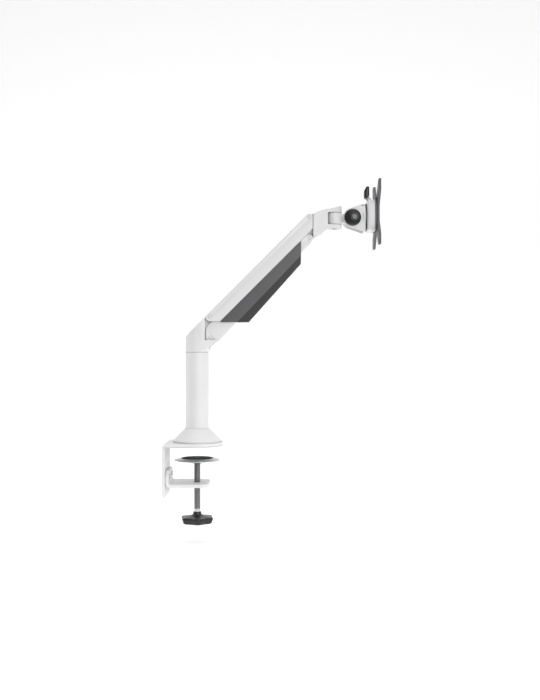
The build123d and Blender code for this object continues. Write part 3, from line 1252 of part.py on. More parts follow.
def make_head_block():
    """The rotating block with the quick-release slot, and the bolt it turns on."""
    body = block(
        (BLOCK_BACK, BLOCK_FRONT),
        (-BLOCK_HALF, BLOCK_HALF),
        (BLOCK_Z - BLOCK_HALF, BLOCK_Z + BLOCK_HALF),
    )
    body = fillet(body.edges().filter_by(Axis.X), BLOCK_EDGE_R)
    body = chamfer(body.faces().sort_by(Axis.X)[0].edges(), BLOCK_BACK_CHAMFER)
    body += along_thumb(CLEAR, THUMB_BOSS_LENGTH, THUMB_BOSS_R)
    slot_low = BLOCK_Z - SLOT_FLOOR
    body -= Pos(0, 0, slot_low) * extrude(dovetail(0), amount=SLOT_FLOOR + 2 * BLOCK_HALF)
    grip_end = BLOCK_BACK + ROTATE_GRIP
    body -= rod_x(BLOCK_BACK - OVER, grip_end, 0, ROTATE_Z, ROTATE_BOLT_R)
    body -= along_thumb(-OVER, THUMB_LENGTH + CLEAR, THUMB_R + RUN_FIT)
    keep("head_block", body)

    head_stop = FLANGE_BACK - SPRING_WASHER_T - WASHER_GAP
    bolt = rod_x(head_stop, grip_end, 0, ROTATE_Z, ROTATE_BOLT_R)
    bolt += rod_x(head_stop - ROTATE_HEAD_H, head_stop, 0, ROTATE_Z, ROTATE_HEAD_R)
    keep("rotation_bolt", bolt)


def plate_holes(spacing):
    """Hole centres of one square screw pattern."""
    half = spacing / 2
    return [(y, PLATE_CENTRE_Z + z) for y in (-half, half) for z in (-half, half)]


def make_plate():
    """The cross-shaped screen plate, the adapter that slides into the block, and its screws."""
    slide = SLOT_FLOOR - SLIDE_FIT
    slide_low = BLOCK_Z - slide
    back = BLOCK_FRONT + ADAPTER_GAP
    adapter = block(
        (back, PLATE_BACK),
        (-ADAPTER_HALF, ADAPTER_HALF),
        (PLATE_CENTRE_Z - ADAPTER_HALF, PLATE_CENTRE_Z + ADAPTER_HALF),
    )
    adapter = fillet(adapter.edges().filter_by(Axis.X), ADAPTER_CORNER_R)
    adapter += Pos(0, 0, slide_low) * extrude(dovetail(-SLIDE_FIT), amount=2 * slide)
    square = Pos(0, PLATE_CENTRE_Z) * Rectangle(PLATE_SIZE, PLATE_SIZE)
    arms = Rectangle(2 * PLATE_SIZE, PLATE_ARM)
    cross = Pos(0, PLATE_CENTRE_Z) * (Rot(0, 0, 45) * arms + Rot(0, 0, -45) * arms)
    hub = Pos(0, PLATE_CENTRE_Z) * Rectangle(2 * PLATE_HUB_HALF, 2 * PLATE_HUB_HALF)
    shape = (cross & square) + hub
    front = PLATE_BACK + PLATE_T
    plate = Pos(PLATE_BACK, 0, 0) * extrude(Plane.YZ * shape, amount=PLATE_T)
    for spacing in (VESA_LARGE, VESA_SMALL):
        for y, z in plate_holes(spacing):
            plate -= rod_x(PLATE_BACK - OVER, front + OVER, y, z, VESA_HOLE_R)
    screws = []
    for y, z in plate_holes(2 * RIVET_AT):
        screw = rod_x(back + CLEAR, front - RIVET_HEAD_T, y, z, RIVET_R)
        head = Cone(RIVET_HEAD_R, RIVET_R, RIVET_HEAD_T)
        screw += Pos(front, y, z) * Rot(0, -90, 0) * Pos(0, 0, RIVET_HEAD_T / 2) * head
        plate -= screw
        adapter -= screw
        screws.append(screw)
    keep("quick_release_adapter", adapter)
    keep("vesa_plate", plate)
    keep("adapter_screws", *screws)


def make_thumb_screw():
    """The thumb screw that locks the quick release, and its upright grip."""
    stub = along_thumb(-THUMB_STUB, THUMB_LENGTH, THUMB_R)
    keep("thumb_screw", stub + along_thumb(-THUMB_COLLAR_T, 0, THUMB_COLLAR_R))
    base = THUMB_Z - THUMB_X + THUMB_COLLAR_T / SIN45
    left = THUMB_X - THUMB_HEAD_T * 0.75
    right = left + THUMB_HEAD_T
    top = THUMB_Z + THUMB_HEAD_TALL
    toe_x = THUMB_X - THUMB_COLLAR_R * 0.7
    wing = outline(
        (left, toe_x + base + THUMB_COLLAR_R * 0.6),
        (toe_x, toe_x + base),
        (right, right + base),
        (right, top),
        ((right - 1.8, top + 1.2), (left + 3.2, top + 0.4)),
        (left, top - 6.0),
    )
    knob = slab(wing, -THUMB_HEAD_HALF, THUMB_HEAD_HALF)
    knob = fillet(knob.edges().filter_by(Axis.Z), 2.0)
    knob -= along_thumb(-THUMB_STUB, OVER, THUMB_R)
    keep("thumb_knob", knob)


make_clamp_bracket()
make_jaw()
make_clamp_screw()
make_disc()
make_pole()
make_shoulder()
make_upper_link()
make_lower_link()
make_cover()
make_gas_spring()
make_tension_carriage()
make_head()
make_knuckle()
make_tilt_bracket()
make_tilt_bolt()
make_head_block()
make_plate()
make_thumb_screw()

os.makedirs("parts", exist_ok=True)
for name, shape in PARTS.items():
    export_step(shape, f"parts/{name}.step")
    print(name, len(shape.solids()), round(shape.volume, 1))
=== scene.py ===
"""Looks of a desk-clamped monitor arm: finishes, threads, ribs, rivets and a plain studio."""

import json
import logging
import math
from dataclasses import dataclass, field
from enum import Enum
from typing import Callable

import bmesh
import bpy
from mathutils import Matrix, Vector


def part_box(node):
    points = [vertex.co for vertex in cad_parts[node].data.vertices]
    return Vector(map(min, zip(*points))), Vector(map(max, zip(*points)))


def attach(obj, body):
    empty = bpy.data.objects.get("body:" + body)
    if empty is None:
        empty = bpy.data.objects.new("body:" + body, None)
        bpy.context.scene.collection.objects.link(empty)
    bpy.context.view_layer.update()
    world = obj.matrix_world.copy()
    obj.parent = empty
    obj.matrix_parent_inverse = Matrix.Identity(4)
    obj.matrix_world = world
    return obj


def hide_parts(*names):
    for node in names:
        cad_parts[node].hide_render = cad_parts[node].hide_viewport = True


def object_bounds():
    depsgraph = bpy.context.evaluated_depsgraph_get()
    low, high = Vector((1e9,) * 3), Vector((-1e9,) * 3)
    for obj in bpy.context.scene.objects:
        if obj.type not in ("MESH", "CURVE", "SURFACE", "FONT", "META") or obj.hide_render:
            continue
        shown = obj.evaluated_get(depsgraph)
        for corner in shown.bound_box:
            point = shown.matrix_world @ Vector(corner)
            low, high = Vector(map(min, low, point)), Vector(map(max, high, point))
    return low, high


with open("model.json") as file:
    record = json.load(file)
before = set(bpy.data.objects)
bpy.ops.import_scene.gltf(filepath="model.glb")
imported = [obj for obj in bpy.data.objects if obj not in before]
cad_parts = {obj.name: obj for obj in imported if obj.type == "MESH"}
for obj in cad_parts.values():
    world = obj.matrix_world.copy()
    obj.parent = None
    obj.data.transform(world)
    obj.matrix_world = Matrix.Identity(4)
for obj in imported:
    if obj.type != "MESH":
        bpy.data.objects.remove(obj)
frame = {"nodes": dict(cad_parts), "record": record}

LOG = logging.getLogger("monitor_arm")
MM = 0.001
CAD_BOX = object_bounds()


class Grain(Enum):
    """How fine the surface texture of a finish is, as repeats in a metre."""

    POWDER = 2600.0
    SPARK = 1500.0
    MOULD = 900.0
    BRUSHED = 420.0
    FOAM = 700.0


@dataclass(frozen=True)
class Finish:
    """One surface finish, made into a procedural material.

    Colours are linear. Lengths are in metres.
    """

    name: str
    colour: tuple[float, float, float]
    shade: tuple[float, float, float]
    roughness: float
    grain: Grain
    roughness_spread: float = 0.05
    metallic: float = 0.0
    bump: float = 0.1
    bump_depth: float = 0.00002
    edge_radius: float = 0.0005
    edge_colour: tuple[float, float, float] = (0.8, 0.8, 0.8)
    edge_wear: float = 0.15
    coat: float = 0.0
    sheen: float = 0.0
    # Painted shade in seams and corners: how far the occlusion reaches and how dark it paints.
    painted_shade_reach: float = 0.006
    painted_shade_tone: float = 0.45
    stretch: tuple[float, float, float] = (1.0, 1.0, 1.0)

    def material(self) -> bpy.types.Material:
        """Build the material once and hand back the same one after that.

        Returns:
            The material with its node tree.
        """
        made = bpy.data.materials.get(self.name)
        if made:
            return made
        made = bpy.data.materials.new(self.name)
        made.use_nodes = True
        made.diffuse_color = (*self.colour, 1.0)
        tree = made.node_tree
        shader = tree.nodes["Principled BSDF"]
        shader.inputs["Metallic"].default_value = self.metallic
        shader.inputs["Coat Weight"].default_value = self.coat
        shader.inputs["Coat Roughness"].default_value = 0.12
        shader.inputs["Sheen Weight"].default_value = self.sheen
        place = self._mapping(tree)
        rounded = self._rounded_normal(tree)
        tone = self._tone(tree, place)
        worn = self._wear(tree, place, tone, rounded)
        # The base colour carries painted shade in creases.
        tree.links.new(self._painted_crease_shade(tree, worn), shader.inputs["Base Color"])
        tree.links.new(self._roughness(tree, place), shader.inputs["Roughness"])
        tree.links.new(self._bump(tree, place, rounded), shader.inputs["Normal"])
        return made

    def _mapping(self, tree: bpy.types.NodeTree) -> bpy.types.NodeSocket:
        """Object coordinates, stretched along the finish's own direction.

        Args:
            tree: The material's node tree.

        Returns:
            The vector socket that the textures read.
        """
        where = tree.nodes.new("ShaderNodeTexCoord")
        turn = tree.nodes.new("ShaderNodeMapping")
        turn.inputs["Scale"].default_value = self.stretch
        tree.links.new(where.outputs["Object"], turn.inputs["Vector"])
        return turn.outputs["Vector"]

    def _rounded_normal(self, tree: bpy.types.NodeTree) -> bpy.types.NodeSocket:
        """A normal that turns softly over each edge.

        Args:
            tree: The material's node tree.

        Returns:
            The normal socket.
        """
        soft = tree.nodes.new("ShaderNodeBevel")
        soft.samples = 6
        soft.inputs["Radius"].default_value = self.edge_radius
        return soft.outputs["Normal"]

    def _noise(
        self,
        tree: bpy.types.NodeTree,
        place: bpy.types.NodeSocket,
        scale: float,
        detail: float,
    ) -> bpy.types.NodeSocket:
        """A noise value between 0 and 1.

        Args:
            tree: The material's node tree.
            place: The coordinates to read.
            scale: Repeats in a metre.
            detail: How many finer layers it has.

        Returns:
            The value socket.
        """
        noise = tree.nodes.new("ShaderNodeTexNoise")
        noise.inputs["Scale"].default_value = scale
        noise.inputs["Detail"].default_value = detail
        tree.links.new(place, noise.inputs["Vector"])
        return noise.outputs["Fac"]

    def _tone(self, tree: bpy.types.NodeTree, place: bpy.types.NodeSocket) -> bpy.types.NodeSocket:
        """Broad and fine colour variation.

        Args:
            tree: The material's node tree.
            place: The coordinates to read.

        Returns:
            The colour socket.
        """
        broad = self._noise(tree, place, 14.0, 3.0)
        fine = self._noise(tree, place, self.grain.value * 0.7, 2.0)
        blend = tree.nodes.new("ShaderNodeMath")
        blend.operation = "MULTIPLY_ADD"
        blend.inputs[1].default_value = 0.35
        tree.links.new(fine, blend.inputs[0])
        tree.links.new(broad, blend.inputs[2])
        ramp = tree.nodes.new("ShaderNodeValToRGB")
        ramp.color_ramp.elements[0].position = 0.42
        ramp.color_ramp.elements[0].color = (*self.shade, 1.0)
        ramp.color_ramp.elements[1].position = 0.92
        ramp.color_ramp.elements[1].color = (*self.colour, 1.0)
        tree.links.new(blend.outputs[0], ramp.inputs["Fac"])
        return ramp.outputs["Color"]

    def _wear(
        self,
        tree: bpy.types.NodeTree,
        place: bpy.types.NodeSocket,
        tone: bpy.types.NodeSocket,
        rounded: bpy.types.NodeSocket,
    ) -> bpy.types.NodeSocket:
        """Rubbed edges, broken up by noise.

        Args:
            tree: The material's node tree.
            place: The coordinates to read.
            tone: The colour before wear.
            rounded: The softened normal, which differs from the true one at an edge.

        Returns:
            The colour socket.
        """
        shape = tree.nodes.new("ShaderNodeNewGeometry")
        dot = tree.nodes.new("ShaderNodeVectorMath")
        dot.operation = "DOT_PRODUCT"
        tree.links.new(shape.outputs["Normal"], dot.inputs[0])
        tree.links.new(rounded, dot.inputs[1])
        edge = tree.nodes.new("ShaderNodeMapRange")
        edge.inputs["From Min"].default_value = 0.99
        edge.inputs["From Max"].default_value = 0.86
        edge.inputs["To Max"].default_value = self.edge_wear
        tree.links.new(dot.outputs["Value"], edge.inputs["Value"])
        patch = tree.nodes.new("ShaderNodeMath")
        patch.operation = "MULTIPLY"
        tree.links.new(edge.outputs["Result"], patch.inputs[0])
        tree.links.new(self._noise(tree, place, 160.0, 4.0), patch.inputs[1])
        mix = tree.nodes.new("ShaderNodeMix")
        mix.data_type = "RGBA"
        colours = [socket for socket in mix.inputs if socket.type == "RGBA"]
        colours[1].default_value = (*self.edge_colour, 1.0)
        tree.links.new(patch.outputs[0], mix.inputs["Factor"])
        tree.links.new(tone, colours[0])
        return [socket for socket in mix.outputs if socket.type == "RGBA"][0]

    def _painted_crease_shade(self, tree: bpy.types.NodeTree, tone: bpy.types.NodeSocket) -> bpy.types.NodeSocket:
        """Painted shade: ambient occlusion darkens the colour itself in seams and tight corners.

        Args:
            tree: The material's node tree.
            tone: The colour of the open surface.

        Returns:
            The colour socket.
        """
        # Ambient occlusion scales the colour down: painted shade, standing in for contact shadow.
        near = tree.nodes.new("ShaderNodeAmbientOcclusion")
        near.samples = 8
        near.inputs["Distance"].default_value = self.painted_shade_reach
        tight = tree.nodes.new("ShaderNodeMapRange")
        tight.inputs["From Min"].default_value = 0.15
        tight.inputs["From Max"].default_value = 0.75
        tight.inputs["To Min"].default_value = self.painted_shade_tone
        tree.links.new(near.outputs["AO"], tight.inputs["Value"])
        shade = tree.nodes.new("ShaderNodeVectorMath")
        shade.operation = "SCALE"
        tree.links.new(tone, shade.inputs[0])
        tree.links.new(tight.outputs["Result"], shade.inputs["Scale"])
        return shade.outputs[0]

    def _roughness(self, tree: bpy.types.NodeTree, place: bpy.types.NodeSocket) -> bpy.types.NodeSocket:
        """Roughness that varies in soft patches.

        Args:
            tree: The material's node tree.
            place: The coordinates to read.

        Returns:
            The value socket.
        """
        spread = tree.nodes.new("ShaderNodeMapRange")
        spread.inputs["To Min"].default_value = self.roughness - self.roughness_spread
        spread.inputs["To Max"].default_value = self.roughness + self.roughness_spread
        tree.links.new(self._noise(tree, place, 60.0, 4.0), spread.inputs["Value"])
        return spread.outputs["Result"]

    def _bump(
        self,
        tree: bpy.types.NodeTree,
        place: bpy.types.NodeSocket,
        rounded: bpy.types.NodeSocket,
    ) -> bpy.types.NodeSocket:
        """Fine relief on top of the softened normal.

        Args:
            tree: The material's node tree.
            place: The coordinates to read.
            rounded: The softened normal.

        Returns:
            The normal socket.
        """
        relief = tree.nodes.new("ShaderNodeBump")
        relief.inputs["Strength"].default_value = self.bump
        relief.inputs["Distance"].default_value = self.bump_depth
        tree.links.new(self._noise(tree, place, self.grain.value, 3.0), relief.inputs["Height"])
        tree.links.new(rounded, relief.inputs["Normal"])
        return relief.outputs["Normal"]


WHITE = (0.80, 0.80, 0.805)
WHITE_SHADE = (0.76, 0.76, 0.768)


class Finishes(Enum):
    """Every finish on the arm, named as in the shop, and one darker grey that paints shade under the
    cover.
    """

    WHITE_STEEL = Finish("powder_coat_on_steel", WHITE, WHITE_SHADE, 0.42, Grain.POWDER, bump=0.25)
    WHITE_CASTING = Finish(
        "powder_coat_on_casting", WHITE, WHITE_SHADE, 0.44, Grain.POWDER, bump=0.3, edge_radius=0.0009
    )
    WHITE_PLASTIC = Finish(
        "white_moulded_plastic", (0.81, 0.81, 0.815), (0.78, 0.78, 0.785), 0.38, Grain.MOULD, bump=0.15
    )
    WHITE_TUBE = Finish("powder_coat_on_tube", WHITE, WHITE_SHADE, 0.36, Grain.POWDER, bump=0.2)
    GREY_COVER = Finish(
        "grey_spark_moulding",
        (0.11, 0.11, 0.114),
        (0.092, 0.092, 0.096),
        0.55,
        Grain.SPARK,
        bump=0.6,
        bump_depth=0.00004,
        edge_colour=(0.2, 0.2, 0.2),
        edge_radius=0.0008,
    )
    DARK_CAP = Finish(
        "dark_gloss_cap",
        (0.024, 0.024, 0.026),
        (0.016, 0.016, 0.018),
        0.26,
        Grain.MOULD,
        bump=0.1,
        coat=0.2,
        edge_colour=(0.12, 0.12, 0.12),
    )
    BLACK_KNOB = Finish(
        "black_filled_nylon",
        (0.012, 0.012, 0.013),
        (0.008, 0.008, 0.009),
        0.34,
        Grain.MOULD,
        bump=0.35,
        bump_depth=0.00004,
        edge_colour=(0.11, 0.11, 0.11),
        edge_radius=0.0008,
    )
    # Dark polymer washers; on the swivel friction plates the dark also paints shade in the fork gap.
    DARK_WASHER = Finish(
        "friction_polymer_and_gap_shade", (0.09, 0.09, 0.095), (0.07, 0.07, 0.074), 0.5, Grain.MOULD, bump=0.2
    )
    DARK_PLATE = Finish(
        "dark_powder_coat",
        (0.12, 0.12, 0.125),
        (0.09, 0.09, 0.095),
        0.46,
        Grain.POWDER,
        bump=0.4,
        edge_colour=(0.3, 0.3, 0.3),
    )
    BLACK_SCREW = Finish(
        "black_oxide_steel",
        (0.34, 0.34, 0.345),
        (0.24, 0.24, 0.245),
        0.38,
        Grain.BRUSHED,
        metallic=0.75,
        bump=0.2,
        edge_colour=(0.5, 0.5, 0.5),
        edge_radius=0.0001,
        edge_wear=0.5,
    )
    ZINC_STEEL = Finish(
        "zinc_plated_steel",
        (0.66, 0.66, 0.67),
        (0.56, 0.565, 0.58),
        0.3,
        Grain.BRUSHED,
        metallic=1.0,
        bump=0.12,
        edge_radius=0.0002,
        edge_colour=(0.85, 0.85, 0.85),
        stretch=(1.0, 1.0, 6.0),
    )
    # Painted shade: a darker grey for the cover's downward faces, not a separate moulding.
    COVER_UNDERSIDE_SHADE = Finish(
        "cover_underside_painted_shade",
        (0.026, 0.026, 0.027),
        (0.02, 0.02, 0.021),
        0.5,
        Grain.SPARK,
        bump=0.5,
        bump_depth=0.00004,
        edge_colour=(0.12, 0.12, 0.12),
        edge_radius=0.0008,
    )
    RUBBER_PAD = Finish(
        "dark_ribbed_rubber",
        (0.035, 0.035, 0.035),
        (0.025, 0.025, 0.026),
        0.75,
        Grain.FOAM,
        bump=0.4,
        bump_depth=0.00005,
        edge_colour=(0.09, 0.09, 0.09),
    )
    FOAM_PAD = Finish(
        "pale_foam_rubber",
        (0.70, 0.70, 0.69),
        (0.62, 0.62, 0.61),
        0.85,
        Grain.FOAM,
        bump=0.8,
        bump_depth=0.00008,
        sheen=0.1,
    )
    BUSH_POLYMER = Finish(
        "grey_acetal", (0.42, 0.42, 0.41), (0.36, 0.36, 0.35), 0.4, Grain.MOULD, bump=0.1
    )
    SPRING_BLACK = Finish(
        "black_painted_tube", (0.03, 0.03, 0.031), (0.022, 0.022, 0.023), 0.3, Grain.POWDER, coat=0.3
    )
    BRIGHT_ROD = Finish(
        "ground_chrome_rod",
        (0.78, 0.78, 0.8),
        (0.72, 0.72, 0.74),
        0.12,
        Grain.BRUSHED,
        metallic=1.0,
        roughness_spread=0.03,
        bump=0.05,
        edge_radius=0.0001,
    )

    def material(self) -> bpy.types.Material:
        """The finish's material."""
        return self.value.material()

    @property
    def slot(self) -> str:
        """The record's material slot of the same name."""
        return self.name.lower()


@dataclass
class GeometryTree:
    """A geometry node tree with named number inputs."""

    name: str
    tree: bpy.types.NodeTree = field(init=False)
    entry: bpy.types.Node = field(init=False)
    keys: dict[str, str] = field(default_factory=dict)

    def __post_init__(self) -> None:
        """Start the tree with its geometry input and output."""
        self.tree = bpy.data.node_groups.new(self.name, "GeometryNodeTree")
        face = self.tree.interface
        face.new_socket("Geometry", in_out="INPUT", socket_type="NodeSocketGeometry")
        face.new_socket("Geometry", in_out="OUTPUT", socket_type="NodeSocketGeometry")
        self.entry = self.tree.nodes.new("NodeGroupInput")

    def size(self, label: str) -> bpy.types.NodeSocket:
        """Add a named number input.

        Args:
            label: The input's name.

        Returns:
            The socket inside the tree.
        """
        socket = self.tree.interface.new_socket(label, in_out="INPUT", socket_type="NodeSocketFloat")
        self.keys[label] = socket.identifier
        return self.entry.outputs[label]

    def count(self, label: str) -> bpy.types.NodeSocket:
        """Add a named whole-number input.

        Args:
            label: The input's name.

        Returns:
            The socket inside the tree.
        """
        socket = self.tree.interface.new_socket(label, in_out="INPUT", socket_type="NodeSocketInt")
        self.keys[label] = socket.identifier
        return self.entry.outputs[label]

    def node(self, kind: str, **settings: object) -> bpy.types.Node:
        """Add a node.

        Args:
            kind: The node's type name.
            **settings: Properties to set on it.

        Returns:
            The node.
        """
        made = self.tree.nodes.new(kind)
        for key, value in settings.items():
            setattr(made, key, value)
        return made

    def join(self, source: object, target: bpy.types.NodeSocket) -> None:
        """Wire a socket, or set a plain number, on an input.

        Args:
            source: A socket or a number.
            target: The input.
        """
        if isinstance(source, bpy.types.NodeSocket):
            self.tree.links.new(source, target)
        else:
            target.default_value = source

    def sum(self, operation: str, first: object, second: object = 0.0) -> bpy.types.NodeSocket:
        """One step of arithmetic.

        Args:
            operation: The Math node's operation.
            first: A socket or a number.
            second: A socket or a number.

        Returns:
            The result.
        """
        made = self.node("ShaderNodeMath", operation=operation)
        self.join(first, made.inputs[0])
        self.join(second, made.inputs[1])
        return made.outputs[0]

    def vector(self, x: object, y: object, z: object) -> bpy.types.NodeSocket:
        """A vector from three sockets or numbers.

        Args:
            x: First part.
            y: Second part.
            z: Third part.

        Returns:
            The vector socket.
        """
        made = self.node("ShaderNodeCombineXYZ")
        for source, target in zip((x, y, z), made.inputs):
            self.join(source, target)
        return made.outputs[0]

    def finish(self, geometry: bpy.types.NodeSocket, finish: Finishes) -> None:
        """End the tree: real geometry, one material, output.

        Args:
            geometry: The geometry to put out.
            finish: Its finish.
        """
        real = self.node("GeometryNodeRealizeInstances")
        paint = self.node("GeometryNodeSetMaterial")
        paint.inputs["Material"].default_value = finish.material()
        out = self.node("NodeGroupOutput")
        self.join(geometry, real.inputs[0])
        self.join(real.outputs[0], paint.inputs["Geometry"])
        self.join(paint.outputs[0], out.inputs[0])


@dataclass
class Piece:
    """A named piece that rides on one body and takes one finish."""

    name: str
    body: str
    finish: Finishes
    stands_for: tuple[str, ...] = ()

    def settle(self, mesh: bpy.types.Mesh, smooth_angle: float = 35.0) -> bpy.types.Object:
        """Put a mesh in the scene as this piece.

        Args:
            mesh: The mesh, with its place in it.
            smooth_angle: Edges sharper than this stay sharp, in degrees.

        Returns:
            The piece's object.
        """
        mesh.name = self.name
        mesh.materials.clear()
        mesh.materials.append(self.finish.material())
        mesh.shade_smooth()
        mesh.set_sharp_from_angle(angle=math.radians(smooth_angle))
        made = bpy.data.objects.new(self.name, mesh)
        bpy.context.scene.collection.objects.link(made)
        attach(made, self.body)
        self.finish.slot
        if self.stands_for:
            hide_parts(*self.stands_for)
        LOG.info("piece %s rides on %s", self.name, self.body)
        return made

    def grow(
        self,
        tree: GeometryTree,
        values: dict[str, float],
        base: bpy.types.Mesh | None = None,
        smooth_angle: float = 35.0,
    ) -> bpy.types.Object:
        """Run a geometry node tree and settle its result.

        Args:
            tree: The tree.
            values: Numbers for its named inputs.
            base: A mesh that the tree starts from.
            smooth_angle: Edges sharper than this stay sharp, in degrees.

        Returns:
            The piece's object.
        """
        holder = bpy.data.objects.new(self.name + ".holder", base or bpy.data.meshes.new("seed"))
        bpy.context.scene.collection.objects.link(holder)
        modifier = holder.modifiers.new("grow", "NODES")
        modifier.node_group = tree.tree
        for label, value in values.items():
            modifier[tree.keys[label]] = value
        graph = bpy.context.evaluated_depsgraph_get()
        mesh = bpy.data.meshes.new_from_object(holder.evaluated_get(graph))
        holder.modifiers.clear()
        bpy.data.objects.remove(holder)
        return self.settle(mesh, smooth_angle)


def lathe(outline: list[tuple[float, float]], steps: int = 96) -> bpy.types.Mesh:
    """A closed solid turned about Z.

    Args:
        outline: Radius and height points in metres, from the axis back to the axis.
        steps: Faces round the axis.

    Returns:
        The mesh.
    """
    work = bmesh.new()
    rings: list[list[bmesh.types.BMVert]] = []
    for radius, height in outline:
        if radius < 1e-9:
            rings.append([work.verts.new((0.0, 0.0, height))])
            continue
        ring = []
        for step in range(steps):
            angle = math.tau * step / steps
            ring.append(work.verts.new((radius * math.cos(angle), radius * math.sin(angle), height)))
        rings.append(ring)
    for low, high in zip(rings, rings[1:]):
        for step in range(steps):
            after = (step + 1) % steps
            corners = [low[step % len(low)], low[after % len(low)]]
            corners += [high[after % len(high)], high[step % len(high)]]
            unique = list(dict.fromkeys(corners))
            if len(unique) > 2:
                work.faces.new(unique)
    if len(rings[0]) > 1 and len(rings[-1]) > 1:
        for step in range(steps):
            after = (step + 1) % steps
            work.faces.new([rings[-1][step], rings[-1][after], rings[0][after], rings[0][step]])
    bmesh.ops.recalc_face_normals(work, faces=work.faces)
    mesh = bpy.data.meshes.new("lathe")
    work.to_mesh(mesh)
    work.free()
    return mesh


def moved(mesh: bpy.types.Mesh, place: Matrix) -> bpy.types.Mesh:
    """Turn and move a mesh in place.

    Args:
        mesh: The mesh.
        place: Where it goes.

    Returns:
        The same mesh.
    """
    mesh.transform(place)
    if place.determinant() < 0:
        mesh.flip_normals()
    return mesh


def joint_place(name: str) -> tuple[float, float, float]:
    """Where a joint's pivot is.

    Args:
        name: The joint.

    Returns:
        Its point in metres.
    """
    joints = frame["record"]["behaviour"]["joints"]
    return next(tuple(joint["pos_m"]) for joint in joints if joint["name"] == name)


def softened(node: str, width: float, segments: int = 2) -> bpy.types.Mesh:
    """A copy of a CAD node's mesh with small round edges.

    Args:
        node: The CAD node.
        width: Edge rounding in metres.
        segments: Faces across each rounded edge.

    Returns:
        The closed mesh in the shared frame.
    """
    source = frame["nodes"][node]
    mesh = source.data.copy()
    mesh.transform(source.matrix_world)
    work = bmesh.new()
    work.from_mesh(mesh)
    bmesh.ops.remove_doubles(work, verts=work.verts, dist=2e-6)
    bmesh.ops.dissolve_limit(
        work, angle_limit=math.radians(0.6), verts=work.verts, edges=work.edges, delimit=set()
    )
    work.to_mesh(mesh)
    work.free()
    holder = bpy.data.objects.new(node + ".holder", mesh)
    bpy.context.scene.collection.objects.link(holder)
    rounding = holder.modifiers.new("rounding", "BEVEL")
    rounding.width = width
    rounding.segments = segments
    rounding.limit_method = "ANGLE"
    rounding.angle_limit = math.radians(38.0)
    graph = bpy.context.evaluated_depsgraph_get()
    made = bpy.data.meshes.new_from_object(holder.evaluated_get(graph))
    holder.modifiers.clear()
    bpy.data.objects.remove(holder)
    return made


def soften(body: str, widths: dict[str, tuple[Finishes, float]]) -> None:
    """Stand a round-edged copy in for each CAD node.

    Args:
        body: The body they ride on.
        widths: Finish and edge rounding of each node.
    """
    for node, (finish, width) in widths.items():
        Piece(node + "_finished", body, finish, (node,)).settle(softened(node, width))


def dress(finishes: dict[str, Finishes]) -> None:
    """Give CAD nodes their finishes.

    Args:
        finishes: Finish of each node.
    """
    for name, finish in finishes.items():
        node = frame["nodes"][name]
        node.data.materials.clear()
        node.data.materials.append(finish.material())
        LOG.info("node %s is %s", name, finish.slot)


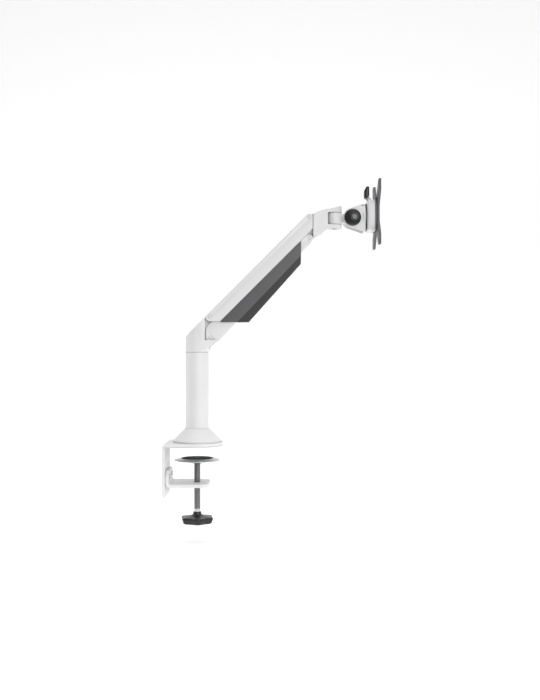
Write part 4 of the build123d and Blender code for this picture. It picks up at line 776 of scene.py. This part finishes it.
@dataclass
class Clamp:
    """Desk clamp: bracket, jaw, screw, knob and pressure disc."""

    pitch: float = 1.75 * MM
    thread_depth: float = 0.95 * MM
    thread_length: float = 86.0 * MM
    neck_length: float = 6.0 * MM
    tip_length: float = 4.2 * MM
    crest_r: float = 5.97 * MM
    neck_r: float = 5.45 * MM
    clip_groove: float = 0.9 * MM
    clip_drop: float = 1.6 * MM
    clip_end: float = 3.2 * MM
    neck_chamfer: float = 0.4 * MM
    stud_step: float = 1.0 * MM
    rings_per_turn: int = 8
    knob_r: float = 31.4 * MM
    knob_hub_r: float = 7.45 * MM
    knob_bore_r: float = 4.6 * MM
    knob_body_drop: float = 9.4 * MM
    knob_steps: int = 240
    knob_waist: float = 0.137
    knob_lobes: int = 6
    knob_turn: float = -82.0
    rib_count: int = 40
    rib_height: float = 0.9 * MM
    rib_width: float = 1.5 * MM
    pad_edge: float = 0.5 * MM
    boss_edge: float = 0.2 * MM
    edge_round: float = 0.45 * MM

    def build(self) -> None:
        """Dress the clamp's nodes and make its detailed pieces."""
        dress(
            {
                "desk_pad": Finishes.FOAM_PAD,
                "jaw_bolts": Finishes.ZINC_STEEL,
                "clamp_disc": Finishes.ZINC_STEEL,
                "clamp_disc_clip": Finishes.ZINC_STEEL,
            }
        )
        steel = (Finishes.WHITE_STEEL, self.edge_round)
        soften("clamp_base", {"clamp_top_bracket": steel, "clamp_lower_jaw": steel})
        self.screw()
        self.knob()
        self.pad()

    def screw(self) -> None:
        """The thread, with the plain tip above it and the bright neck below it."""
        low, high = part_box("clamp_screw")
        thread_low = high.z - self.thread_length
        tip = Piece("clamp_screw_tip", "clamp_spindle", Finishes.BLACK_SCREW, ("clamp_screw",))
        groove_r = self.crest_r - self.clip_groove
        root_r = self.crest_r - self.thread_depth
        top = high.z
        tip.settle(
            lathe(
                [
                    (0.0, top),
                    (groove_r, top),
                    (self.crest_r, top - self.clip_groove),
                    (self.crest_r, top - self.clip_drop),
                    (groove_r, top - self.clip_drop),
                    (groove_r, top - self.clip_end),
                    (root_r, top - self.clip_end),
                    (root_r, top - self.tip_length),
                    (0.0, top - self.tip_length),
                ]
            )
        )
        thread = Piece("clamp_screw_thread", "clamp_spindle", Finishes.BLACK_SCREW, ("clamp_screw",))
        length = self.thread_length - self.tip_length
        thread.grow(
            self.thread_tree(),
            {
                "Length": length,
                "Crest": self.crest_r,
                "Depth": self.thread_depth,
                "Pitch": self.pitch,
                "Middle": top - self.tip_length - length / 2,
                "Rings": int(length / self.pitch * self.rings_per_turn),
            },
            smooth_angle=80.0,
        )
        neck = Piece("clamp_screw_neck", "clamp_spindle", Finishes.ZINC_STEEL, ("clamp_screw",))
        neck_low = thread_low - self.neck_length
        stud_r = self.neck_r - self.stud_step
        neck.settle(
            lathe(
                [
                    (0.0, thread_low),
                    (self.neck_r - self.neck_chamfer, thread_low),
                    (self.neck_r, thread_low - self.neck_chamfer),
                    (self.neck_r, neck_low),
                    (stud_r, neck_low),
                    (stud_r, low.z),
                    (0.0, low.z),
                ]
            )
        )

    def thread_tree(self) -> GeometryTree:
        """A rod whose radius follows a V thread.

        Returns:
            The tree.
        """
        tree = GeometryTree("screw_thread")
        length = tree.size("Length")
        crest = tree.size("Crest")
        depth = tree.size("Depth")
        pitch = tree.size("Pitch")
        middle = tree.size("Middle")
        rings = tree.count("Rings")
        rod = tree.node("GeometryNodeMeshCylinder")
        rod.inputs["Vertices"].default_value = 40
        tree.join(rings, rod.inputs["Side Segments"])
        tree.join(crest, rod.inputs["Radius"])
        tree.join(length, rod.inputs["Depth"])
        place = tree.node("GeometryNodeInputPosition")
        parts = tree.node("ShaderNodeSeparateXYZ")
        tree.join(place.outputs[0], parts.inputs[0])
        angle = tree.sum("ARCTAN2", parts.outputs[1], parts.outputs[0])
        turn = tree.sum("DIVIDE", angle, math.tau)
        climb = tree.sum("DIVIDE", parts.outputs[2], pitch)
        wave = tree.sum("PINGPONG", tree.sum("SUBTRACT", climb, turn), 0.5)
        valley = tree.sum("MULTIPLY", tree.sum("MULTIPLY", wave, 2.0), depth)
        radius = tree.sum("SUBTRACT", crest, valley)
        flat = tree.node("ShaderNodeVectorMath", operation="LENGTH")
        tree.join(tree.vector(parts.outputs[0], parts.outputs[1], 0.0), flat.inputs[0])
        ratio = tree.sum("DIVIDE", radius, tree.sum("MAXIMUM", flat.outputs["Value"], 0.001))
        spot = tree.vector(
            tree.sum("MULTIPLY", parts.outputs[0], ratio),
            tree.sum("MULTIPLY", parts.outputs[1], ratio),
            tree.sum("ADD", parts.outputs[2], middle),
        )
        shift = tree.node("GeometryNodeSetPosition")
        tree.join(rod.outputs["Mesh"], shift.inputs["Geometry"])
        tree.join(spot, shift.inputs["Position"])
        tree.finish(shift.outputs[0], Finishes.BLACK_SCREW)
        return tree

    def knob(self) -> None:
        """The lobed hand knob, turned and then drawn in between its lobes."""
        low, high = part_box("clamp_knob")
        outer = self.knob_r
        top = high.z
        body_top = top - self.knob_body_drop
        hub_r = self.knob_hub_r
        outline = [
            (self.knob_bore_r, top),
            (hub_r - 0.5 * MM, top),
            (hub_r, top - 0.5 * MM),
            (hub_r, top - 3.4 * MM),
            (hub_r + 0.9 * MM, top - 5.0 * MM),
            (hub_r + 3.0 * MM, top - 6.4 * MM),
            (hub_r + 8.2 * MM, top - 7.5 * MM),
            (outer - 8.0 * MM, body_top + 0.7 * MM),
            (outer - 2.4 * MM, body_top - 0.1 * MM),
            (outer - 1.0 * MM, body_top - 0.5 * MM),
            (outer - 0.2 * MM, body_top - 1.4 * MM),
            (outer, body_top - 2.6 * MM),
            (outer - 2.2 * MM, low.z + 3.0 * MM),
            (outer - 3.0 * MM, low.z + 1.5 * MM),
            (outer - 5.0 * MM, low.z + 0.5 * MM),
            (outer - 8.5 * MM, low.z),
            (outer - 10.5 * MM, low.z),
            (outer - 11.0 * MM, low.z + 0.6 * MM),
            (outer - 11.2 * MM, low.z + 4.0 * MM),
            (6.4 * MM, low.z + 4.0 * MM),
            (self.knob_bore_r, low.z + 4.4 * MM),
        ]
        piece = Piece("clamp_star_knob", "clamp_spindle", Finishes.BLACK_KNOB, ("clamp_knob",))
        piece.grow(
            self.lobe_tree(),
            {"Waist": self.knob_waist, "Turn": math.radians(self.knob_turn), "Lobes": self.knob_lobes},
            base=lathe(outline, steps=self.knob_steps),
            smooth_angle=50.0,
        )

    def lobe_tree(self) -> GeometryTree:
        """Draws a turned shape in between evenly spaced lobes.

        Returns:
            The tree.
        """
        tree = GeometryTree("knob_lobes")
        waist = tree.size("Waist")
        start = tree.size("Turn")
        lobes = tree.count("Lobes")
        place = tree.node("GeometryNodeInputPosition")
        parts = tree.node("ShaderNodeSeparateXYZ")
        tree.join(place.outputs[0], parts.inputs[0])
        flat = tree.node("ShaderNodeVectorMath", operation="LENGTH")
        tree.join(tree.vector(parts.outputs[0], parts.outputs[1], 0.0), flat.inputs[0])
        angle = tree.sum("SUBTRACT", tree.sum("ARCTAN2", parts.outputs[1], parts.outputs[0]), start)
        swing = tree.sum("COSINE", tree.sum("MULTIPLY", angle, lobes))
        dip = tree.sum("MULTIPLY", tree.sum("SUBTRACT", 1.0, swing), 0.5)
        dip = tree.sum("POWER", dip, 0.8)
        reach = tree.node("ShaderNodeMapRange", interpolation_type="SMOOTHSTEP")
        reach.inputs["From Min"].default_value = 0.012
        reach.inputs["From Max"].default_value = 0.027
        tree.join(flat.outputs["Value"], reach.inputs["Value"])
        pull = tree.sum("MULTIPLY", tree.sum("MULTIPLY", dip, waist), reach.outputs["Result"])
        keep = tree.sum("SUBTRACT", 1.0, pull)
        spot = tree.vector(
            tree.sum("MULTIPLY", parts.outputs[0], keep),
            tree.sum("MULTIPLY", parts.outputs[1], keep),
            parts.outputs[2],
        )
        shift = tree.node("GeometryNodeSetPosition")
        tree.join(tree.entry.outputs["Geometry"], shift.inputs["Geometry"])
        tree.join(spot, shift.inputs["Position"])
        tree.finish(shift.outputs[0], Finishes.BLACK_KNOB)
        return tree

    def pad(self) -> None:
        """The rubber pad: a plain disc with ribs that spread from a raised middle."""
        low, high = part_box("clamp_disc_pad")
        radius = high.x
        top = high.z - self.rib_height
        base = Piece("pressure_pad_base", "clamp_pressure_disc", Finishes.RUBBER_PAD, ("clamp_disc_pad",))
        base.settle(
            lathe(
                [
                    (0.0, low.z),
                    (radius, low.z),
                    (radius, top - self.pad_edge),
                    (radius - self.pad_edge, top),
                    (radius * 0.26, top),
                    (radius * 0.26, high.z - self.boss_edge),
                    (radius * 0.25, high.z),
                    (0.0, high.z),
                ]
            )
        )
        ribs = Piece("pressure_pad_ribs", "clamp_pressure_disc", Finishes.RUBBER_PAD, ("clamp_disc_pad",))
        ribs.grow(
            self.rib_tree(),
            {
                "Ribs": self.rib_count,
                "Inner": radius * 0.3,
                "Length": radius * 0.66,
                "Width": self.rib_width,
                "Height": self.rib_height,
                "Level": top,
            },
        )

    def rib_tree(self) -> GeometryTree:
        """Straight ribs spread evenly about the axis.

        Returns:
            The tree.
        """
        tree = GeometryTree("pad_ribs")
        ribs = tree.count("Ribs")
        inner = tree.size("Inner")
        length = tree.size("Length")
        width = tree.size("Width")
        height = tree.size("Height")
        level = tree.size("Level")
        bar = tree.node("GeometryNodeMeshCube")
        tree.join(tree.vector(length, width, height), bar.inputs["Size"])
        place = tree.node("GeometryNodeInputPosition")
        parts = tree.node("ShaderNodeSeparateXYZ")
        tree.join(place.outputs[0], parts.inputs[0])
        above = tree.sum("GREATER_THAN", parts.outputs[2], 0.0)
        taper = tree.sum("SUBTRACT", 1.0, tree.sum("MULTIPLY", above, 0.35))
        out = tree.sum("ADD", inner, tree.sum("MULTIPLY", length, 0.5))
        spot = tree.vector(
            tree.sum("ADD", parts.outputs[0], out),
            tree.sum("MULTIPLY", parts.outputs[1], taper),
            tree.sum("ADD", parts.outputs[2], tree.sum("MULTIPLY", height, 0.5)),
        )
        shift = tree.node("GeometryNodeSetPosition")
        tree.join(bar.outputs["Mesh"], shift.inputs["Geometry"])
        tree.join(spot, shift.inputs["Position"])
        points = tree.node("GeometryNodePoints")
        tree.join(ribs, points.inputs["Count"])
        tree.join(tree.vector(0.0, 0.0, level), points.inputs["Position"])
        index = tree.node("GeometryNodeInputIndex")
        step = tree.sum("DIVIDE", math.tau, ribs)
        spread = tree.node("GeometryNodeInstanceOnPoints")
        tree.join(points.outputs[0], spread.inputs["Points"])
        tree.join(shift.outputs[0], spread.inputs["Instance"])
        turn = tree.vector(0.0, 0.0, tree.sum("MULTIPLY", index.outputs[0], step))
        tree.join(turn, spread.inputs["Rotation"])
        tree.finish(spread.outputs[0], Finishes.RUBBER_PAD)
        return tree


@dataclass
class Post:
    """The upright pole, its foot and the cone that hides it."""

    def build(self) -> None:
        """Dress the post's nodes."""
        dress(
            {
                "pole_tube": Finishes.WHITE_TUBE,
                "pole_foot": Finishes.ZINC_STEEL,
                "foot_bolts": Finishes.ZINC_STEEL,
                "base_gasket": Finishes.FOAM_PAD,
                "base_cone_cover": Finishes.WHITE_PLASTIC,
                "pole_top_bush": Finishes.BUSH_POLYMER,
                "pole_lower_bush": Finishes.BUSH_POLYMER,
                "swivel_washer": Finishes.BUSH_POLYMER,
            }
        )


@dataclass
class Shoulder:
    """The swivelling casting with its spindle, bushes and tension screw."""

    def build(self) -> None:
        """Dress the shoulder's nodes and round the casting's edges."""
        soften("shoulder", {"shoulder_casting": (Finishes.WHITE_CASTING, 0.35 * MM)})
        dress(
            {
                "shoulder_spindle": Finishes.ZINC_STEEL,
                "spindle_retainer": Finishes.ZINC_STEEL,
                "spindle_bolt": Finishes.ZINC_STEEL,
                "shoulder_bushes": Finishes.BUSH_POLYMER,
                "tension_carriage": Finishes.ZINC_STEEL,
                "spring_anchor_pin": Finishes.ZINC_STEEL,
                "tension_screw": Finishes.ZINC_STEEL,
            }
        )


@dataclass
class LiftLinks:
    """The two lift links, the cover under them and the gas spring between them."""

    pin_chamfer: float = 0.5 * MM
    groove_in: float = 1.1 * MM
    groove_width: float = 0.35 * MM
    groove_depth: float = 0.35 * MM
    # Faces that point further down than this get the darker material, painted shade.
    shaded_underside_slope: float = -0.2

    def build(self) -> None:
        """Dress the links' nodes, round their edges and make the pivot pins."""
        soften("upper_link", {"upper_link": (Finishes.WHITE_CASTING, 0.7 * MM)})
        soften("lower_link", {"lower_link": (Finishes.WHITE_CASTING, 0.5 * MM)})
        self.cover()
        upper = Vector(joint_place("arm_lift"))
        lower = Vector(joint_place("lower_link_turn"))
        reach = Vector(joint_place("head_level")) - upper
        self.pins("upper_link", upper, reach)
        self.pins("lower_link", lower, reach)
        dress(
            {
                "upper_link_spacers": Finishes.BUSH_POLYMER,
                "spring_head_pin": Finishes.ZINC_STEEL,
                "lower_link_washers": Finishes.BUSH_POLYMER,
                "gas_spring_tube": Finishes.SPRING_BLACK,
                "gas_spring_guide": Finishes.BUSH_POLYMER,
                "gas_spring_rod": Finishes.BRIGHT_ROD,
                "gas_spring_piston": Finishes.ZINC_STEEL,
                "gas_spring_eye": Finishes.ZINC_STEEL,
            }
        )

    def cover(self) -> None:
        """The grey cover, with a darker material on its downward faces that paints shade along its
        underside.
        """
        piece = Piece("lower_cover_finished", "lower_link", Finishes.GREY_COVER, ("lower_cover",))
        mesh = piece.settle(softened("lower_cover", 0.9 * MM)).data
        # Downward faces take the darker material: painted shade under the cover.
        mesh.materials.append(Finishes.COVER_UNDERSIDE_SHADE.material())
        for face in mesh.polygons:
            if face.normal.z < self.shaded_underside_slope:
                face.material_index = 1

    def pins(self, body: str, start: Vector, reach: Vector) -> None:
        """The two painted pivot pins of one link.

        Args:
            body: The link's body, which also names the pins' node.
            start: The shoulder pivot.
            reach: From the shoulder pivot to the head pivot.
        """
        node = body + "_pins"
        low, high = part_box(node)
        half = (high.y - low.y) / 2
        radius = (high.x - low.x - abs(reach.x)) / 2
        groove = radius - self.groove_in
        floor = half - self.groove_depth
        rim = groove + self.groove_width
        outline = [
            (0.0, floor),
            (groove * 0.45, floor),
            (groove * 0.55, half),
            (groove, half),
            (groove, floor),
            (rim, floor),
            (rim, half),
            (radius - self.pin_chamfer, half),
            (radius, half - self.pin_chamfer),
        ]
        outline += [(r, -z) for r, z in reversed(outline)]
        pin = moved(lathe(outline, steps=48), Matrix.Rotation(math.radians(90.0), 4, "X"))
        piece = Piece(node + "_finished", body, Finishes.WHITE_STEEL, (node,))
        piece.grow(
            self.pair_tree(),
            {"X": start.x, "Z": start.z, "Run": reach.x, "Rise": reach.z},
            base=pin,
        )

    def pair_tree(self) -> GeometryTree:
        """The same part at both ends of a line.

        Returns:
            The tree.
        """
        tree = GeometryTree("pin_pair")
        start = tree.vector(tree.size("X"), 0.0, tree.size("Z"))
        offset = tree.vector(tree.size("Run"), 0.0, tree.size("Rise"))
        line = tree.node("GeometryNodeMeshLine")
        line.inputs["Count"].default_value = 2
        tree.join(start, line.inputs["Start Location"])
        tree.join(offset, line.inputs["Offset"])
        spread = tree.node("GeometryNodeInstanceOnPoints")
        tree.join(line.outputs["Mesh"], spread.inputs["Points"])
        tree.join(tree.entry.outputs["Geometry"], spread.inputs["Instance"])
        tree.finish(spread.outputs[0], Finishes.WHITE_STEEL)
        return tree


@dataclass
class Head:
    """The head casting, swivel knuckle and tilt bracket."""

    def build(self) -> None:
        """Dress the head's nodes and round the visible parts' edges."""
        soften("head", {"head_casting": (Finishes.WHITE_CASTING, 0.6 * MM)})
        soften("knuckle", {"swivel_knuckle": (Finishes.WHITE_CASTING, 0.4 * MM)})
        cap = (Finishes.DARK_CAP, 0.9 * MM)
        soften(
            "tilt_bracket",
            {
                "tilt_bracket": (Finishes.WHITE_CASTING, 0.4 * MM),
                "tilt_cap_near": cap,
                "tilt_cap_far": cap,
            },
        )
        dress(
            {
                "head_bushes": Finishes.BUSH_POLYMER,
                "swivel_bolt": Finishes.ZINC_STEEL,
                "swivel_nut": Finishes.ZINC_STEEL,
                # The friction plates are dark polymer, and their dark also paints the shade lines at the
                # top and bottom of the fork gap.
                "swivel_friction_plates": Finishes.DARK_WASHER,
                "tilt_friction_washers": Finishes.DARK_WASHER,
                "tilt_bolt": Finishes.ZINC_STEEL,
                "tilt_nut": Finishes.ZINC_STEEL,
                "rotation_friction_ring": Finishes.DARK_WASHER,
                "rotation_spring_washer": Finishes.ZINC_STEEL,
            }
        )


@dataclass
class ScreenEnd:
    """The rotating block, quick-release adapter, screen plate and thumb screw."""

    def build(self) -> None:
        """Dress the screen end's nodes and round the visible parts' edges."""
        soften("head_block", {"head_block": (Finishes.WHITE_CASTING, 0.6 * MM)})
        soften(
            "screen_plate",
            {
                "vesa_plate": (Finishes.DARK_PLATE, 0.5 * MM),
                "quick_release_adapter": (Finishes.DARK_PLATE, 0.4 * MM),
            },
        )
        soften("thumb_screw", {"thumb_knob": (Finishes.BLACK_KNOB, 0.9 * MM)})
        dress(
            {
                "rotation_bolt": Finishes.ZINC_STEEL,
                "adapter_screws": Finishes.BLACK_SCREW,
                "thumb_screw": Finishes.ZINC_STEEL,
            }
        )


@dataclass
class Studio:
    """A pale floor, soft light and the camera."""

    lens_mm: float = 49.886
    distance: float = 1771.0 * MM
    aim: tuple[float, float] = (142.0 * MM, 183.5 * MM)
    shift: tuple[float, float] = (-5 / 700, -5 / 700)
    floor_drop: float = 35.0 * MM
    floor_half: float = 6.0
    floor_front: float = -0.85
    world_low: float = 0.12
    world_high: float = 0.72
    flag_side: tuple[float, float, float] = (-0.77, -0.64, 0.0)
    flag_level: float = 0.1
    floor_glow: float = 0.42
    wall_start: float = 1.6
    wall_radius: float = 1.5
    wall_height: float = 4.0

    def build(self) -> None:
        """Set up everything that isn't the arm."""
        self.floor()
        self.world()
        self.lamp("key_panel", (0.9, -2.3, 0.8), (0.12, 0.0, 0.2), 1.2, 23.0)
        self.lamp("fill_panel", (-2.1, 0.3, 0.4), (0.05, 0.0, 0.2), 1.2, 9.0)
        self.lamp("top_panel", (0.1, -0.2, 2.0), (0.1, 0.0, 0.2), 1.4, 8.0)
        self.camera()
        bpy.context.scene.view_settings.view_transform = "Standard"

    def floor(self) -> None:
        """A plain pale floor that sweeps up into a wall behind the arm."""
        level = CAD_BOX[0][2] - self.floor_drop
        profile = [(self.floor_front, level), (self.wall_start, level)]
        steps = 24
        for step in range(1, steps + 1):
            angle = math.radians(90.0) * step / steps
            profile.append(
                (
                    self.wall_start + self.wall_radius * math.sin(angle),
                    level + self.wall_radius * (1.0 - math.cos(angle)),
                )
            )
        profile.append((self.wall_start + self.wall_radius, level + self.wall_height))
        work = bmesh.new()
        sides = [
            [work.verts.new((x, y, z)) for y, z in profile] for x in (-self.floor_half, self.floor_half)
        ]
        for near, far in zip(range(len(profile) - 1), range(1, len(profile))):
            face = work.faces.new([sides[0][near], sides[1][near], sides[1][far], sides[0][far]])
            face.smooth = True
        mesh = bpy.data.meshes.new("floor")
        work.to_mesh(mesh)
        work.free()
        paint = bpy.data.materials.new("pale_floor")
        paint.use_nodes = True
        shader = paint.node_tree.nodes["Principled BSDF"]
        shader.inputs["Base Color"].default_value = (0.85, 0.85, 0.85, 1.0)
        shader.inputs["Roughness"].default_value = 0.95
        shader.inputs["Specular IOR Level"].default_value = 0.1
        shader.inputs["Emission Color"].default_value = (1.0, 1.0, 1.0, 1.0)
        shader.inputs["Emission Strength"].default_value = self.floor_glow
        mesh.materials.append(paint)
        made = bpy.data.objects.new("floor", mesh)
        bpy.context.scene.collection.objects.link(made)

    def world(self) -> None:
        """White light from above that fades towards the ground."""
        world = bpy.data.worlds.new("studio")
        world.use_nodes = True
        sky = world.node_tree.nodes["Background"]
        sky.inputs["Strength"].default_value = 1.0
        tree = world.node_tree
        where = tree.nodes.new("ShaderNodeTexCoord")
        parts = tree.nodes.new("ShaderNodeSeparateXYZ")
        level = tree.nodes.new("ShaderNodeMapRange")
        level.inputs["From Min"].default_value = -0.35
        level.inputs["From Max"].default_value = 0.35
        level.inputs["To Min"].default_value = self.world_low
        level.inputs["To Max"].default_value = self.world_high
        flag = tree.nodes.new("ShaderNodeVectorMath")
        flag.operation = "DOT_PRODUCT"
        flag.inputs[1].default_value = self.flag_side
        dim = tree.nodes.new("ShaderNodeMapRange")
        dim.inputs["From Min"].default_value = 0.45
        dim.inputs["From Max"].default_value = 0.85
        dim.inputs["To Min"].default_value = 1.0
        dim.inputs["To Max"].default_value = self.flag_level
        both = tree.nodes.new("ShaderNodeMath")
        both.operation = "MULTIPLY"
        tree.links.new(where.outputs["Generated"], parts.inputs[0])
        tree.links.new(where.outputs["Generated"], flag.inputs[0])
        tree.links.new(parts.outputs["Z"], level.inputs["Value"])
        tree.links.new(flag.outputs["Value"], dim.inputs["Value"])
        tree.links.new(level.outputs["Result"], both.inputs[0])
        tree.links.new(dim.outputs["Result"], both.inputs[1])
        tree.links.new(both.outputs[0], sky.inputs["Color"])
        bpy.context.scene.world = world

    def lamp(
        self,
        name: str,
        place: tuple[float, float, float],
        target: tuple[float, float, float],
        size: float,
        power: float,
    ) -> None:
        """A large soft panel light.

        Args:
            name: Its name.
            place: Where it stands.
            target: What it points at.
            size: Its width.
            power: Its power in watts.
        """
        data = bpy.data.lights.new(name, "AREA")
        data.energy = power
        data.size = size
        lamp = bpy.data.objects.new(name, data)
        lamp.location = place
        lamp.rotation_euler = (Vector(target) - Vector(place)).to_track_quat("-Z", "Y").to_euler()
        bpy.context.scene.collection.objects.link(lamp)

    def camera(self) -> None:
        """A level camera square to the arm."""
        data = bpy.data.cameras.new("camera")
        data.lens = self.lens_mm
        data.sensor_width = 36.0
        data.shift_x, data.shift_y = self.shift
        data.clip_end = 50.0
        made = bpy.data.objects.new("camera", data)
        made.location = (self.aim[0], -self.distance, self.aim[1])
        made.rotation_euler = (math.radians(90.0), 0.0, 0.0)
        bpy.context.scene.collection.objects.link(made)
        bpy.context.scene.camera = made


def main() -> None:
    """Build every sub-assembly in order, then the studio."""
    logging.basicConfig(level=logging.INFO, format="%(message)s")
    builders: list[Callable[[], None]] = [
        Clamp().build,
        Post().build,
        Shoulder().build,
        LiftLinks().build,
        Head().build,
        ScreenEnd().build,
        Studio().build,
    ]
    for build in builders:
        build()


if __name__ == "__main__":
    main()
